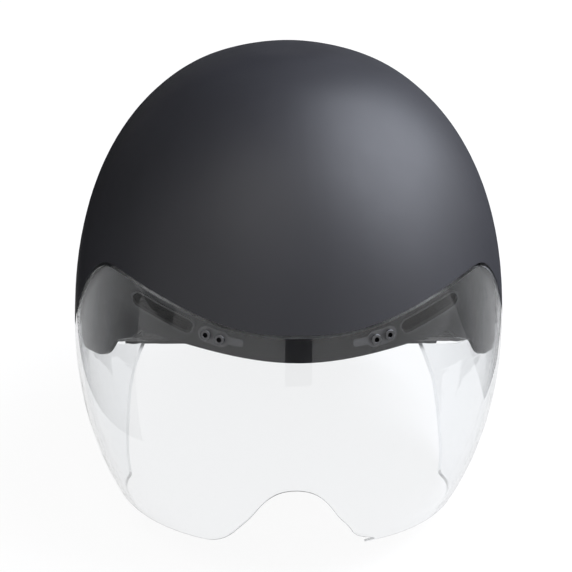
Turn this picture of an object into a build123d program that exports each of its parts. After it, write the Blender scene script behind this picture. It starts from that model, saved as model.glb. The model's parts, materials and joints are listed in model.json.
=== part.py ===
from build123d import *
from functools import lru_cache
import math
import os

# An aero time trial helmet with a clear full-face visor that lifts off forwards.
# It is drawn level with the wearer's head: X across, Y towards the back, Z up, and
# the origin inside the head, on the widest section. The last step leans it onto its
# rest: the nape foot and the two rear corners of the visor.

# Body form
half_width = 103.0
front_length = 110.0
rear_length = 158.0
visor_rear_length = 120.0
tail_length = 146.0
crown_height = 133.0
chin_depth = 133.0
crown_roundness = 2.27
chin_roundness = 2.03

# Shell, with its recessed band behind the visor
shell_wall = 1.4
band_depth = 3.2
brow_gap = 1.2
ear_gap = 1.5

# Visor
visor_wall = 2.0
corner_radius = 12.5
corner_turns = (-59.0, -95.0)

# Head cavity in the liner
cavity_half_width = 79.5
cavity_front = 97.0
cavity_rear = 101.0
cavity_height = 102.0
cavity_skirt = 150.0
cavity_shift = 12.0
cavity_roundness = 2.2
channel_width = 13.0
channel_depth = 8.0
channel_pitch = 30.0

# Air inlets in the band
inlet_height = 7.8
bezel_wall = 0.9
bezel_rise = 0.5
bezel_depth = 3.0

# Visor latch: hollow rivets through the visor, magnets in the band
rivet_head = 4.9
rivet_shank = 3.0
rivet_bore = 2.3
rivet_rise = 0.5
rivet_flare = 0.4
rivet_seat = 0.1
bracket_wall = 0.6
bracket_height = 7.2
tab_height = 3.4
magnet_diameter = 5.2
latch_wall = 1.0

# Tail diffuser
diffuser_width = 50.0
diffuser_height = 46.0
diffuser_corner = 11.0
diffuser_wall = 2.2
diffuser_rim = 3.5
vane_count = 3
vane_wall = 1.6
vane_depth = 14.0
duct_width = 12.0
duct_pitch = 15.0
duct_height = 30.0

# Lower trim and nape foot
trim_height = 2.6
foot_depth = 12.5
foot_length = 24.0
rest_lean = 14.5

# Comfort pads
pad_thickness = 5.5
brow_pad_width = 92.0
brow_pad_height = 20.0
crown_pad_width = 24.0
crown_pad_length = 62.0
side_pad_length = 62.0
side_pad_height = 18.0
side_pad_level = 42.5
cradle_pad_half = 27.2

# Fit system
cradle_wall = 2.2
cradle_inset = 3.4
fit_travel = 10.0
belt_height = 9.6
belt_wall = 1.6
belt_length = 46.0
belt_level = 8.0
belt_side = 70.0
belt_start = -2.0
sleeve_length = 22.0
sleeve_start = 30.0
sleeve_wall = 1.4
sleeve_play = 0.08
anchor_width = 14.0

# Dial and its two racks
dial_level = -25.0
pinion_teeth = 12
pinion_radius = 4.0
tooth_addendum = 0.62
tooth_dedendum = 0.85
tooth_play = 0.18
tooth_base_share = 1.35
tooth_tip_share = 0.5
tooth_root_share = 0.9
rack_base_share = 1.5
rack_tip_share = 0.55
rack_wall = 1.5
rack_gap = 0.4
rack_bar = 2.4
rack_reach = 33.0
rack_lug = 2.6
housing_wall = 1.6
housing_half = 16.0
housing_play = 0.25
housing_start = 107.0
dial_radius = 13.0
dial_wall = 7.0
dial_grips = 15
grip_depth = 1.0
dish_radius = 8.06
dial_float = 0.35
shaft_radius = 2.0
shaft_play = 0.05
bay_half = 38.0
bay_roof = 21.0
bay_depth = 31.0

# Straps, stored under the crown
strap_wall = 1.2
strap_inset = 6.6
leg_width = 14.0
chin_width = 15.0
chin_start = 24.0
divider_width = 20.0
divider_height = 17.0
divider_wall = 3.4
rivet_plate = 17.0
buckle_length = 26.0
buckle_width = 24.0
buckle_wall = 8.0
plug_length = 30.0
prong_length = 17.0
prong_width = 15.0
prong_wall = 3.4
prong_play = 0.3

# Fits
seat_fit = 0.05
liner_fit = 0.15
soft_gap = 0.3

# Cuts run past the part by this much
overrun = 20.0
profile_spans = 8

# Outline of the side view, front to back: shares of the length ahead of or behind
# the widest section, and of the height above or below it
visor_top_shares = [
    (-1.060, 0.161), (-0.991, 0.167), (-0.936, 0.191), (-0.825, 0.241), (-0.691, 0.283),
    (-0.564, 0.308), (-0.473, 0.307), (-0.396, 0.274), (-0.304, 0.197), (-0.195, 0.096),
    (-0.102, 0.0075),
]
notch_shares = [(-0.687, 0.1286), (-0.643, 0.0895), (-0.596, 0.0737)]
shell_edge_shares = [
    (-0.596, 0.0737), (-0.551, 0.050), (-0.526, 0.020), (-0.475, -0.010), (-0.382, -0.023),
    (-0.245, -0.033), (-0.155, -0.012), (-0.073, 0.018), (0.013, 0.015), (0.127, -0.049),
    (0.253, -0.143), (0.506, -0.248), (0.700, -0.280), (1.100, -0.352),
]
foam_edge_shares = [
    (-0.630, 0.084), (-0.455, 0.070), (-0.280, 0.054), (-0.140, 0.026), (-0.040, 0.010),
]
corner_shares = (0.082, -0.5376)
visor_rear_shares = [(0.590, -0.110), (0.516, -0.226), (0.403, -0.365), (0.277, -0.504)]
visor_low_shares = [(-0.255, -0.615), (-0.410, -0.626), (-0.591, -0.636), (-1.150, -0.640)]

# Front view: shares of the half width and of the height
brow_shares = [(0.0, 0.0774), (0.301, 0.0955), (0.505, 0.1165), (0.676, 0.1286), (1.068, 0.180)]
nose_shares = [
    (0.0, -0.389), (0.080, -0.403), (0.146, -0.449), (0.200, -0.512), (0.248, -0.560),
    (0.300, -0.608), (0.360, -0.634), (0.420, -0.638),
]
inlet_shares = [(0.481, 0.177), (0.683, 0.229)]
stud_shares = [(0.340, 0.1505), (0.399, 0.1610)]
tab_shares = (0.252, 0.1415)

# Up and back parts of the move that opens an even gap along the visor's top line
gap_move_shares = (0.55, 1.2)

# Where the lower trim starts behind the visor
trim_start_share = 0.72

# Strap anchors in side view, front and rear, and where the legs meet: shares of the
# cavity's length ahead of or behind its middle, and of its height
anchor_shares = [(0.30, 0.20), (0.56, 0.24)]
meet_share = 0.42

# Cradle arms in side view: shares of the cavity's rear and height
cradle_shares = [
    (0.30, -0.030), (0.56, -0.020), (0.80, -0.40), (1.30, -0.46), (1.30, -0.10),
    (0.86, -0.10), (0.60, 0.100), (0.30, 0.100),
]


def superellipse(radius, height, roundness):
    """Quarter outline from the widest point to the pole, as X and Z pairs."""
    turns = [math.pi / 2 * step / profile_spans for step in range(profile_spans)]
    power = 2 / roundness
    points = [(radius * math.cos(t) ** power, height * math.sin(t) ** power) for t in turns]
    return points + [(0, height)]


def pod(radius, forward, rearward, top, bottom, top_roundness, bottom_roundness):
    """Closed body of revolution, stretched by its own amount to front and to back."""
    upper = [(x, 0, z) for x, z in superellipse(radius, top, top_roundness)]
    lower = [(x, 0, -z) for x, z in superellipse(radius, bottom, bottom_roundness)]
    outline = outline_face(
        Spline(*upper, tangents=[(0, 0, 1), (-1, 0, 0)]),
        Spline(*lower, tangents=[(0, 0, -1), (-1, 0, 0)]),
        Line(lower[-1], upper[-1]),
    )
    half = revolve(outline, Axis.Z, 180)
    back = scale(half, by=(1, rearward / radius, 1))
    front = scale(mirror(half, Plane.XZ), by=(1, forward / radius, 1))
    return front + back


@lru_cache(maxsize=None)
def body(inset):
    """The helmet's outer form, drawn in evenly by an inset."""
    return pod(
        half_width - inset, front_length - inset, rear_length - inset,
        crown_height - inset, chin_depth - inset, crown_roundness, chin_roundness,
    )


@lru_cache(maxsize=None)
def visor_body(inset):
    """The visor's form: the body's front, with a shorter back that hugs the ears."""
    return pod(
        half_width - inset, front_length - inset, visor_rear_length - inset,
        crown_height - inset, chin_depth - inset, crown_roundness, chin_roundness,
    )


@lru_cache(maxsize=None)
def cavity(inset):
    """The head's space in the liner, drawn in evenly by an inset."""
    form = pod(
        cavity_half_width - inset, cavity_front - inset, cavity_rear - inset,
        cavity_height - inset, cavity_skirt, cavity_roundness, chin_roundness,
    )
    return Pos(0, cavity_shift, 0) * form


def layer(form, outer, inner, outline=None):
    """The space between two insets of one form, inside an outline when one is given."""
    filled = form(outer) if outline is None else outline & form(outer)
    return filled - form(inner)


def side_point(share):
    """A point of the side view."""
    along, level = share
    length = front_length if along < 0 else rear_length
    return Vector(0, along * length, level * (crown_height if level > 0 else chin_depth))


def front_point(share):
    """A point of the front view."""
    across, level = share
    return Vector(across * half_width, 0, level * (crown_height if level > 0 else chin_depth))


def outline_face(*curves):
    """The flat face inside curves that meet end to end."""
    return Face(Wire([edge for curve in curves for edge in curve.edges()]))


def across_solid(*curves):
    """A side view outline carried right across the helmet."""
    reach = half_width + overrun
    return extrude(outline_face(*curves), amount=reach, dir=(1, 0, 0), both=True)


def front_far():
    return -front_length - overrun


def rear_far():
    return rear_length + overrun


def slab(x_range, y_range, z_range):
    """A plain block between pairs of coordinates."""
    size = [high - low for low, high in (x_range, y_range, z_range)]
    middle = [(high + low) / 2 for low, high in (x_range, y_range, z_range)]
    return Pos(*middle) * Box(*size)


def above_visor(gap, drop):
    """All that lies over the visor's top line, moved off it by a gap."""
    line = [side_point(share) for share in visor_top_shares]
    end = line[-1]
    roof = crown_height + overrun
    path = [
        end, (0, end.Y, end.Z - drop), (0, rear_far(), end.Z - drop),
        (0, rear_far(), roof), (0, front_far(), roof), (0, front_far(), line[0].Z), line[0],
    ]
    if drop == 0:
        path.pop(1)
    region = across_solid(Spline(*line), Polyline(*path))
    back, up = gap_move_shares
    return Pos(0, gap * back, gap * up) * region


@lru_cache(maxsize=None)
def above_edge():
    """All that lies over the shell's lower edge, behind the brow."""
    curve = [side_point(share) for share in shell_edge_shares]
    notch = [side_point(share) for share in notch_shares]
    roof = crown_height + overrun
    skirt = -chin_depth / 4
    return across_solid(
        Spline(*curve),
        Polyline(
            curve[-1], (0, curve[-1].Y, roof), (0, front_far(), roof), (0, front_far(), skirt),
            (0, notch[0].Y, skirt), *notch,
        ),
    )


@lru_cache(maxsize=None)
def brow_cut():
    """What is cut away under the brow, from the front back to the temple notch."""
    right = [front_point(share) for share in brow_shares]
    left = [Vector(-p.X, 0, p.Z) for p in reversed(right[1:])]
    line = left + right
    skirt = -chin_depth
    path = Polyline(line[-1], (line[-1].X, 0, skirt), (line[0].X, 0, skirt), line[0])
    face = Pos(0, front_far(), 0) * outline_face(Spline(*line), path)
    depth = side_point(notch_shares[0]).Y - front_far()
    return extrude(face, amount=depth, dir=(0, 1, 0))


def stadium(start, end, height, y_range):
    """A slot outline between two points of the front view, carried along Y."""
    middle = (start + end) / 2
    run = end - start
    turn = math.degrees(math.atan2(run.Z, run.X))
    outline = SlotCenterToCenter(run.length, height)
    plane = Plane(
        origin=(middle.X, y_range[1], middle.Z), x_dir=(1, 0, 0), z_dir=(0, -1, 0)
    )
    face = plane * Rot(0, 0, turn) * outline
    return extrude(face, amount=y_range[1] - y_range[0], dir=(0, -1, 0))


def both_sides(solid):
    """A right-hand solid and its mirror image."""
    return solid, mirror(solid, Plane.YZ)


def skin_place(share):
    """A place on the body's front, with Z pointing outwards."""
    point = front_point(share)
    reach = (1 - (point.Z / crown_height) ** crown_roundness) ** (1 / crown_roundness)
    depth = -front_length * math.sqrt(reach ** 2 - (point.X / half_width) ** 2)
    slope = reach ** (crown_roundness - 2)
    normal = Vector(
        slope * point.X / half_width ** 2, slope * depth / front_length ** 2,
        (point.Z / crown_height) ** (crown_roundness - 1) / crown_height,
    )
    return Plane(origin=(point.X, depth, point.Z), z_dir=normal).location


def brow_range():
    return front_far(), side_point(notch_shares[0]).Y / 3


def inlet_slot(height):
    start, end = [front_point(share) for share in inlet_shares]
    return stadium(start, end, height, brow_range())


def stud_slot(height, depth):
    """A slot outline round both studs of one side, where their axes are at a depth."""
    start, end = [
        Vector(*(skin_place(share) * Pos(0, 0, -depth)).position) for share in stud_shares
    ]
    return stadium(start, end, height, brow_range())


def stud_pins(diameter, depth, length):
    """The two cylinders of one side that stand in at the studs, from a depth on."""
    pins = [
        skin_place(share) * Pos(0, 0, -depth - length / 2) * Cylinder(diameter / 2, length)
        for share in stud_shares
    ]
    return pins[0] + pins[1]


def diffuser_outline(grow):
    """The tail opening, larger all round by a length."""
    outline = RectangleRounded(
        diffuser_width + 2 * grow, diffuser_height + 2 * grow, diffuser_corner + grow
    )
    plane = Plane(origin=(0, tail_length, diffuser_level()), x_dir=(1, 0, 0), z_dir=(0, -1, 0))
    return plane * outline


def diffuser_level():
    return dial_level + bay_roof + diffuser_height / 2


def stepped_form(inset, tail=tail_length):
    """The shell's outside, with its band set in below the visor's top line."""
    cap = body(inset) & above_visor(brow_gap + inset, chin_depth)
    form = cap + body(band_depth + inset)
    trimmed = form & slab(
        (-rear_far(), rear_far()), (front_far(), tail - inset), (-chin_depth, crown_height)
    )
    return (trimmed & above_edge()) - brow_cut()


def foam_relief():
    """What the foam leaves free behind the shell's tab in front of the ear."""
    line = [side_point(share) for share in foam_edge_shares]
    skirt = -chin_depth / 4
    return across_solid(
        Spline(*line),
        Polyline(line[-1], (0, line[-1].Y, skirt), (0, line[0].Y, skirt), line[0]),
    )


def dial_bay():
    """The pocket behind the head that holds the dial, open below."""
    start = cavity_shift + cavity_rear / 2
    return slab(
        (-bay_half, bay_half), (start, housing_start + bay_depth),
        (-chin_depth, dial_level + bay_roof),
    )


def air_ducts():
    """Exhaust ducts from the head's space to the tail."""
    start = cavity_shift + cavity_rear / 2
    level = diffuser_level()
    return [
        slab(
            (x - duct_width / 2, x + duct_width / 2), (start, rear_far()),
            (level - duct_height / 2, level + duct_height / 2),
        )
        for x in (-duct_pitch, 0, duct_pitch)
    ]


def air_channels():
    """Grooves under the crown that carry air from brow to nape."""
    grown = cavity(-channel_depth)
    return [
        grown & slab(
            (x - channel_width / 2, x + channel_width / 2), (front_far(), rear_far()),
            (channel_width, crown_height),
        )
        for x in (-channel_pitch, 0, channel_pitch)
    ]


def outer_shell():
    """Thin moulded shell with its stepped band, air inlets, latch holes and tail opening."""
    shell = stepped_form(0) - stepped_form_inside()
    pins = stud_pins(magnet_diameter + 2 * seat_fit, 0, band_depth + 3 * shell_wall)
    for slot in both_sides(inlet_slot(inlet_height)) + both_sides(pins):
        shell -= slot
    opening = extrude(diffuser_outline(seat_fit), amount=4 * shell_wall, dir=(0, 1, 0), both=True)
    return shell - opening


def stepped_form_inside():
    """The shell's inside, run past its lower edge so that it opens below."""
    cap = body(shell_wall) & above_visor(brow_gap + shell_wall, chin_depth)
    form = cap + body(band_depth + shell_wall)
    return form & slab(
        (-rear_far(), rear_far()), (front_far(), tail_length - shell_wall),
        (-chin_depth, crown_height),
    )


def eps_liner():
    """Foam liner with the head's space, air grooves, ducts, dial bay and latch pockets."""
    liner = stepped_form(shell_wall + liner_fit) - cavity(0) - dial_bay() - foam_relief()
    pocket = stud_slot(bracket_height + 2 * liner_fit, latch_depth())
    pocket -= body(latch_depth() + latch_wall + liner_fit)
    cuts = list(both_sides(inlet_slot(inlet_height))) + list(both_sides(pocket))
    cuts += air_ducts() + air_channels()
    cuts.append(extrude(
        diffuser_outline(-diffuser_rim + vane_wall), amount=vane_depth, dir=(0, -1, 0)
    ))
    cuts.append(extrude(
        diffuser_outline(liner_fit), amount=shell_wall + diffuser_wall, dir=(0, -1, 0)
    ))
    for cut in cuts:
        liner -= cut
    return liner


def tail_diffuser():
    """Panel that closes the tail, with upright air slots and guide vanes behind them."""
    plate = extrude(diffuser_outline(0), amount=diffuser_wall + shell_wall - seat_fit, dir=(0, -1, 0))
    inner_width = diffuser_width - 2 * diffuser_rim
    gap = (inner_width - (vane_count - 1) * vane_wall) / vane_count
    level = diffuser_level()
    half_height = duct_height / 2
    for index in range(vane_count):
        start = -inner_width / 2 + index * (gap + vane_wall)
        plate -= slab(
            (start, start + gap), (tail_length - overrun, tail_length + overrun),
            (level - half_height, level + half_height),
        )
    for index in range(1, vane_count):
        start = -inner_width / 2 + index * (gap + vane_wall) - vane_wall
        front = tail_length - vane_depth + 2 * vane_wall
        plate += slab(
            (start, start + vane_wall), (front, tail_length - diffuser_wall / 2),
            (level - half_height, level + half_height),
        )
    return plate


def floor_gap():
    """Signed distance from the origin down to the floor, square to the floor."""
    lean = math.radians(rest_lean)
    centre = corner_centre()
    return centre.Z * math.cos(lean) - centre.Y * math.sin(lean) - corner_radius


def corner_centre():
    along, level = corner_shares
    return Vector(0, along * rear_length, level * chin_depth)


def below_floor():
    """All that would lie under the surface that the helmet stands on."""
    size = 4 * rear_length
    block = Pos(0, 0, floor_gap() - size / 2) * Box(size, size, size)
    return Rot(rest_lean, 0, 0) * block


def lower_trim():
    """Soft edge strip from ear to ear round the nape, with the foot it stands on."""
    edge = above_edge()
    start = visor_rear_length * trim_start_share
    band = Pos(0, 0, -trim_height) * edge
    band = band & slab(
        (-rear_far(), rear_far()), (start, tail_length), (-chin_depth, crown_height)
    )
    foot = slab(
        (-foot_length, foot_length), (tail_length - foot_length, tail_length),
        (-chin_depth / 2, 0),
    )
    foot = foot & (Pos(0, 0, -foot_depth) * edge)
    strip = (band + foot) - edge
    return (strip & body(0)) - cavity(0) - dial_bay() - below_floor()


def inlet_bezel():
    """Frame that lines one air inlet and stands a little proud of the band."""
    ring = inlet_slot(inlet_height - 2 * seat_fit) - inlet_slot(inlet_height - 2 * bezel_wall)
    return layer(body, band_depth - bezel_rise, band_depth + bezel_depth, ring)


def latch_depth():
    """How deep the keeper plate lies, just behind the band's wall."""
    return band_depth + shell_wall + seat_fit


def latch_magnets():
    """Keeper plate behind the band, with the two magnets that reach its face."""
    back = latch_depth()
    plate = layer(body, back, back + latch_wall, stud_slot(bracket_height, back))
    pins = stud_pins(magnet_diameter, band_depth - shell_wall, 2 * shell_wall + latch_wall)
    return plate + (pins & body(band_depth))


def visor_outline():
    """The visor's side view, below its top line."""
    centre = corner_centre()
    line = [side_point(share) for share in visor_top_shares]
    rear = [side_point(share) for share in visor_rear_shares]
    low = [side_point(share) for share in visor_low_shares]
    first, last = [math.radians(turn) for turn in corner_turns]
    arc_ends = [
        Vector(0, centre.Y + corner_radius * math.cos(a), centre.Z + corner_radius * math.sin(a))
        for a in (first, (first + last) / 2, last)
    ]
    leave = Vector(0, math.sin(first), -math.cos(first))
    enter = Vector(0, math.sin(last), -math.cos(last))
    roof = crown_height / 2
    return across_solid(
        Spline(*rear, arc_ends[0], tangents=[(0, -1, -1), leave]),
        ThreePointArc(*arc_ends),
        Spline(arc_ends[2], *low, tangents=[enter, (0, -1, 0)]),
        Polyline(low[-1], (0, low[-1].Y, roof), (0, rear[0].Y, roof), rear[0]),
    )


def nose_cut():
    """The arch over the wearer's nose, cut from the front only."""
    right = [front_point(share) for share in nose_shares]
    left = [Vector(-p.X, 0, p.Z) for p in reversed(right[1:])]
    line = left + right
    skirt = -chin_depth - overrun
    path = Polyline(line[-1], (line[-1].X, 0, skirt), (line[0].X, 0, skirt), line[0])
    face = Pos(0, front_far(), 0) * outline_face(
        Spline(*line, tangents=[(1, 0, 0), (1, 0, 0)]), path
    )
    return extrude(face, amount=front_length, dir=(0, 1, 0))


def visor_lens():
    """Clear moulded visor from brow to mouth that covers both ears."""
    lens = layer(visor_body, 0, visor_wall) & visor_outline()
    lens -= above_visor(0, 0)
    ear_cut = Pos(0, 0, -ear_gap) * above_edge()
    lens -= ear_cut & slab(
        (-rear_far(), rear_far()), (side_point(visor_top_shares[-1]).Y, rear_far()),
        (-chin_depth, crown_height),
    )
    lens -= nose_cut()
    for pins in both_sides(stud_pins(rivet_shank + 2 * seat_fit, -rivet_rise, 3 * visor_wall)):
        lens -= pins
    return lens


def visor_bracket():
    """Frosted strip inside the visor that its studs hold."""
    outer = visor_wall + seat_fit
    plate = stud_slot(bracket_height, outer)
    tab = stadium(front_point(tab_shares), front_point(stud_shares[0]), tab_height, brow_range())
    strip = layer(visor_body, outer, outer + bracket_wall, plate + tab)
    return strip - stud_pins(rivet_shank + 2 * seat_fit, -rivet_rise, 3 * visor_wall)


def rivet(share):
    """Hollow rivet through the visor and its bracket."""
    top = rivet_seat + rivet_rise
    foot = -visor_wall - bracket_wall - 2 * rivet_seat
    head = Pos(0, 0, rivet_seat + rivet_rise / 2) * Cylinder(rivet_head / 2, rivet_rise)
    head = fillet(head.edges().group_by(Axis.Z)[-1], rivet_rise / 2)
    shank = Pos(0, 0, (top + foot) / 2) * Cylinder(rivet_shank / 2, top - foot)
    flare = Pos(0, 0, foot - rivet_flare / 4) * Cylinder(
        rivet_shank / 2 + rivet_flare, rivet_flare / 2
    )
    bore = Cylinder(rivet_bore / 2, 4 * (top - foot))
    return skin_place(share) * (head + shank + flare - bore)


def lining(outline):
    """A pad that hugs the liner inside an outline."""
    return layer(cavity, soft_gap, soft_gap + pad_thickness, outline)


def brow_pad():
    half = brow_pad_width / 2
    level = side_point(notch_shares[0]).Z
    return lining(slab((-half, half), (front_far(), 0), (level, level + brow_pad_height)))


def crown_pad():
    start = channel_width / 2 + soft_gap * 4
    end = buckle_middle() - buckle_width / 2 - 4 * soft_gap
    return lining(slab(
        (start, start + crown_pad_width), (end - crown_pad_length, end),
        (cavity_height / 2, crown_height),
    ))


def side_pad():
    level = side_pad_level
    half = side_pad_length / 2
    return lining(slab(
        (0, half_width), (cavity_shift - half, cavity_shift + half),
        (level, level + side_pad_height),
    ))


def side_belt():
    """Headband strap from its anchor at the temple into the cradle's sleeve."""
    level = (belt_level - belt_height, belt_level)
    strap = slab(
        (belt_side - belt_wall / 2, belt_side + belt_wall / 2),
        (belt_start, belt_start + belt_length), level,
    )
    block = slab(
        (belt_side - belt_wall, cavity_half_width), (belt_start - anchor_width, belt_start), level
    )
    return strap + (block & cavity(seat_fit))


def sleeve_block(wall, play, ends):
    """A block round one side belt, thicker than it by a play and a wall."""
    grow = play + wall
    return slab(
        (belt_side - belt_wall / 2 - grow, belt_side + belt_wall / 2 + grow),
        (sleeve_start - ends, sleeve_start + sleeve_length + ends),
        (belt_level - belt_height - grow, belt_level + grow),
    )


def cradle_outline():
    points = [
        (0, cavity_shift + along * cavity_rear, level * cavity_height)
        for along, level in cradle_shares
    ]
    return across_solid(Polyline(*points, points[0]))


def rear_cradle():
    """Yoke round the back of the head, with a sleeve on each arm and the dial's seat."""
    start = sleeve_start + sleeve_length - sleeve_wall
    outline = cradle_outline() & slab(
        (-half_width, half_width), (start, rear_far()), (-chin_depth, crown_height)
    )
    yoke = layer(cavity, cradle_inset, cradle_inset + cradle_wall, outline)
    for sign in (-1, 1):
        block = sleeve_block(sleeve_wall, sleeve_play, 0)
        bore = sleeve_block(0, sleeve_play, overrun)
        if sign < 0:
            block, bore = mirror(block, Plane.YZ), mirror(bore, Plane.YZ)
        yoke = (yoke + block) - bore
    return yoke - housing_block(seat_fit)


def housing_size():
    """Half height and depth of the dial housing."""
    half = pinion_radius + tooth_dedendum + rack_bar + housing_play + housing_wall
    depth = 2 * housing_wall + 2 * rack_wall + rack_gap + 2 * housing_play
    return half, depth


def housing_block(grow):
    half, depth = housing_size()
    return slab(
        (-housing_half - grow, housing_half + grow),
        (housing_start - grow, housing_start + depth + grow),
        (dial_level - half - grow, dial_level + half + grow),
    )


def dial_housing():
    """Box that guides both racks past the dial's pinion."""
    half, depth = housing_size()
    inner = half - housing_wall
    tunnel = slab(
        (-housing_half - overrun, housing_half + overrun),
        (housing_start + housing_wall, housing_start + depth - housing_wall),
        (dial_level - inner, dial_level + inner),
    )
    bore = Cylinder(shaft_radius + shaft_play, 2 * depth)
    bore = Pos(0, housing_start + depth / 2, dial_level) * Rot(90, 0, 0) * bore
    mouth = pinion_radius + tooth_addendum + tooth_play
    rear = Pos(0, housing_start + depth, dial_level) * Rot(90, 0, 0)
    return housing_block(0) - tunnel - bore - rear * Cylinder(mouth, 2 * housing_wall + seat_fit)


def tooth_face(flank):
    """A tooth whose right flank runs through the given points, and its left one mirrors it."""
    points = [(-x, y) for x, y in flank] + flank[::-1]
    return make_face(Polyline(*points, points[0]))


def pinion():
    """Straight-cut pinion, in the plane of its face."""
    pitch_half = math.pi * pinion_radius / pinion_teeth / 2 - tooth_play / 2
    root = pinion_radius - tooth_dedendum
    base, tip = pitch_half * tooth_base_share, pitch_half * tooth_tip_share
    tooth = tooth_face([
        (base, root * tooth_root_share), (pitch_half, pinion_radius),
        (tip, pinion_radius + tooth_addendum),
    ])
    wheel = Circle(root)
    step = 360 / pinion_teeth
    for index in range(pinion_teeth):
        wheel += Rot(0, 0, step * index + step / 2) * tooth
    return wheel


def dial_knob():
    """Grooved dial with its shaft and the pinion between the racks."""
    half, depth = housing_size()
    knob_start = housing_start + depth + dial_float
    grip = Circle(dial_radius)
    for index in range(dial_grips):
        turn = Rot(0, 0, 360 * index / dial_grips)
        grip -= turn * Pos(dial_radius + grip_depth, 0, 0) * Circle(2 * grip_depth)
    knob = extrude(grip, amount=dial_wall)
    knob -= Pos(0, 0, dial_wall) * Cylinder(dish_radius, 2 * grip_depth)
    wheel_depth = depth - housing_wall - housing_play + dial_float
    wheel = Pos(0, 0, -wheel_depth) * extrude(pinion(), amount=wheel_depth)
    shaft_depth = depth + dial_float
    shaft = Pos(0, 0, -shaft_depth / 2) * Cylinder(shaft_radius, shaft_depth)
    place = Plane(origin=(0, knob_start, dial_level), x_dir=(-1, 0, 0), z_dir=(0, 1, 0)).location
    return place * (knob + wheel + shaft)


def rack_strip():
    """Slotted strip with teeth along the top of its slot, reaching out to the left."""
    pitch = 2 * math.pi * pinion_radius / pinion_teeth
    half = pinion_radius + tooth_dedendum + rack_bar
    clear = pinion_radius + tooth_addendum + 2 * tooth_play
    slot_low, slot_high = -fit_travel - clear, clear
    end = slot_high + rack_bar
    outline = Pos((end - rack_reach) / 2, 0) * Rectangle(rack_reach + end, 2 * half)
    slot = Pos((slot_low + slot_high) / 2, (pinion_radius + tooth_dedendum - clear) / 2)
    outline -= slot * Rectangle(slot_high - slot_low, pinion_radius + tooth_dedendum + clear)
    side = pitch / 4 - tooth_play / 2
    tooth = tooth_face([
        (side * rack_base_share, pinion_radius + tooth_dedendum), (side, pinion_radius),
        (side * rack_tip_share, pinion_radius - tooth_addendum),
    ])
    for index in range(math.ceil(slot_low / pitch) + 1, math.floor(slot_high / pitch)):
        outline += Pos(index * pitch, 0) * tooth
    lug = Pos(rack_lug / 2 - rack_reach, 0, rack_wall) * Box(rack_lug, 2 * half, 2 * rack_wall)
    return extrude(outline, amount=rack_wall) + lug


def rack(sign):
    """One rack in its place in the housing; the sign gives the side it reaches out to."""
    front = housing_start + housing_wall + housing_play
    start = front if sign < 0 else front + rack_wall + rack_gap
    turn = 0 if sign < 0 else 180
    upright = Plane(origin=(0, start + rack_wall, dial_level), x_dir=(1, 0, 0), z_dir=(0, -1, 0))
    return upright.location * Rot(0, 0, turn) * rack_strip()


def cradle_pad():
    """Soft pad on the head's side of the cradle."""
    inset = cradle_inset + cradle_wall + soft_gap
    half, depth = housing_size()
    return layer(cavity, inset, inset + pad_thickness / 2, slab(
        (-cradle_pad_half, cradle_pad_half), (cavity_shift, rear_far()),
        (dial_level - half, dial_level + half),
    ))


def leg_strip(start, end, width):
    """A strap leg between two points of the side view, on the right."""
    run = end - start
    turn = math.degrees(math.atan2(run.Z, run.Y))
    middle = (start + end) / 2
    plane = Plane(origin=(0, middle.Y, middle.Z), x_dir=(0, 1, 0), z_dir=(1, 0, 0))
    face = plane * Rot(0, 0, turn) * Rectangle(run.length, width)
    reach = extrude(face, amount=half_width, dir=(1, 0, 0))
    return layer(cavity, strap_inset, strap_inset + strap_wall, reach)


def strap_points():
    """Where the strap legs start at front and rear, and where they meet."""
    (front_back, front_up), (rear_back, rear_up) = anchor_shares
    front = Vector(0, cavity_shift - cavity_front * front_back, cavity_height * front_up)
    rear = Vector(0, cavity_shift + cavity_rear * rear_back, cavity_height * rear_up)
    meet = Vector(0, chin_start + chin_width / 2, cavity_height * meet_share)
    return front, rear, meet


def side_web():
    """The two strap legs of one side, from their anchors up to the divider."""
    front, rear, meet = strap_points()
    return leg_strip(front, meet, leg_width) + leg_strip(rear, meet, leg_width)


def strap_anchor(index):
    """Plate that holds one strap leg against the liner."""
    spot = strap_points()[index]
    half = rivet_plate / 2
    block = slab((0, half_width), (spot.Y - half, spot.Y + half), (spot.Z - half, spot.Z + half))
    return layer(cavity, seat_fit, strap_inset - seat_fit, block)


def divider():
    """Clamp that joins the two legs to the chin strap."""
    meet = strap_points()[2]
    block = slab(
        (0, half_width),
        (meet.Y - divider_width / 2, meet.Y + divider_width / 2),
        (meet.Z - divider_height / 2, meet.Z + divider_height / 2),
    )
    inset = strap_inset + strap_wall + seat_fit
    return layer(cavity, inset, inset + divider_wall, block)


def strap_level():
    """Height of the stored chin strap's underside where it comes down to the buckle."""
    inset = strap_inset + strap_wall
    across = plug_length / (cavity_half_width - inset)
    along = (buckle_middle() - cavity_shift) / (cavity_rear - inset)
    reach = math.hypot(across, along)
    height = (1 - reach ** cavity_roundness) ** (1 / cavity_roundness)
    return (cavity_height - inset) * height


def chin_strap(buckle_end):
    """The right half of the chin strap, stored over the head's crown."""
    meet = strap_points()[2]
    span = (chin_start, chin_start + chin_width)
    start = meet.Z + divider_height / 2 + soft_gap
    block = slab((plug_length, half_width), span, (start, crown_height))
    run = layer(cavity, strap_inset, strap_inset + strap_wall, block)
    level = strap_level()
    return run + slab((buckle_end, plug_length + strap_wall), span, (level, level + strap_wall))


def buckle_level():
    return strap_level() + strap_wall / 2 - buckle_wall / 2


def buckle_middle():
    return chin_start + chin_width / 2


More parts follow.
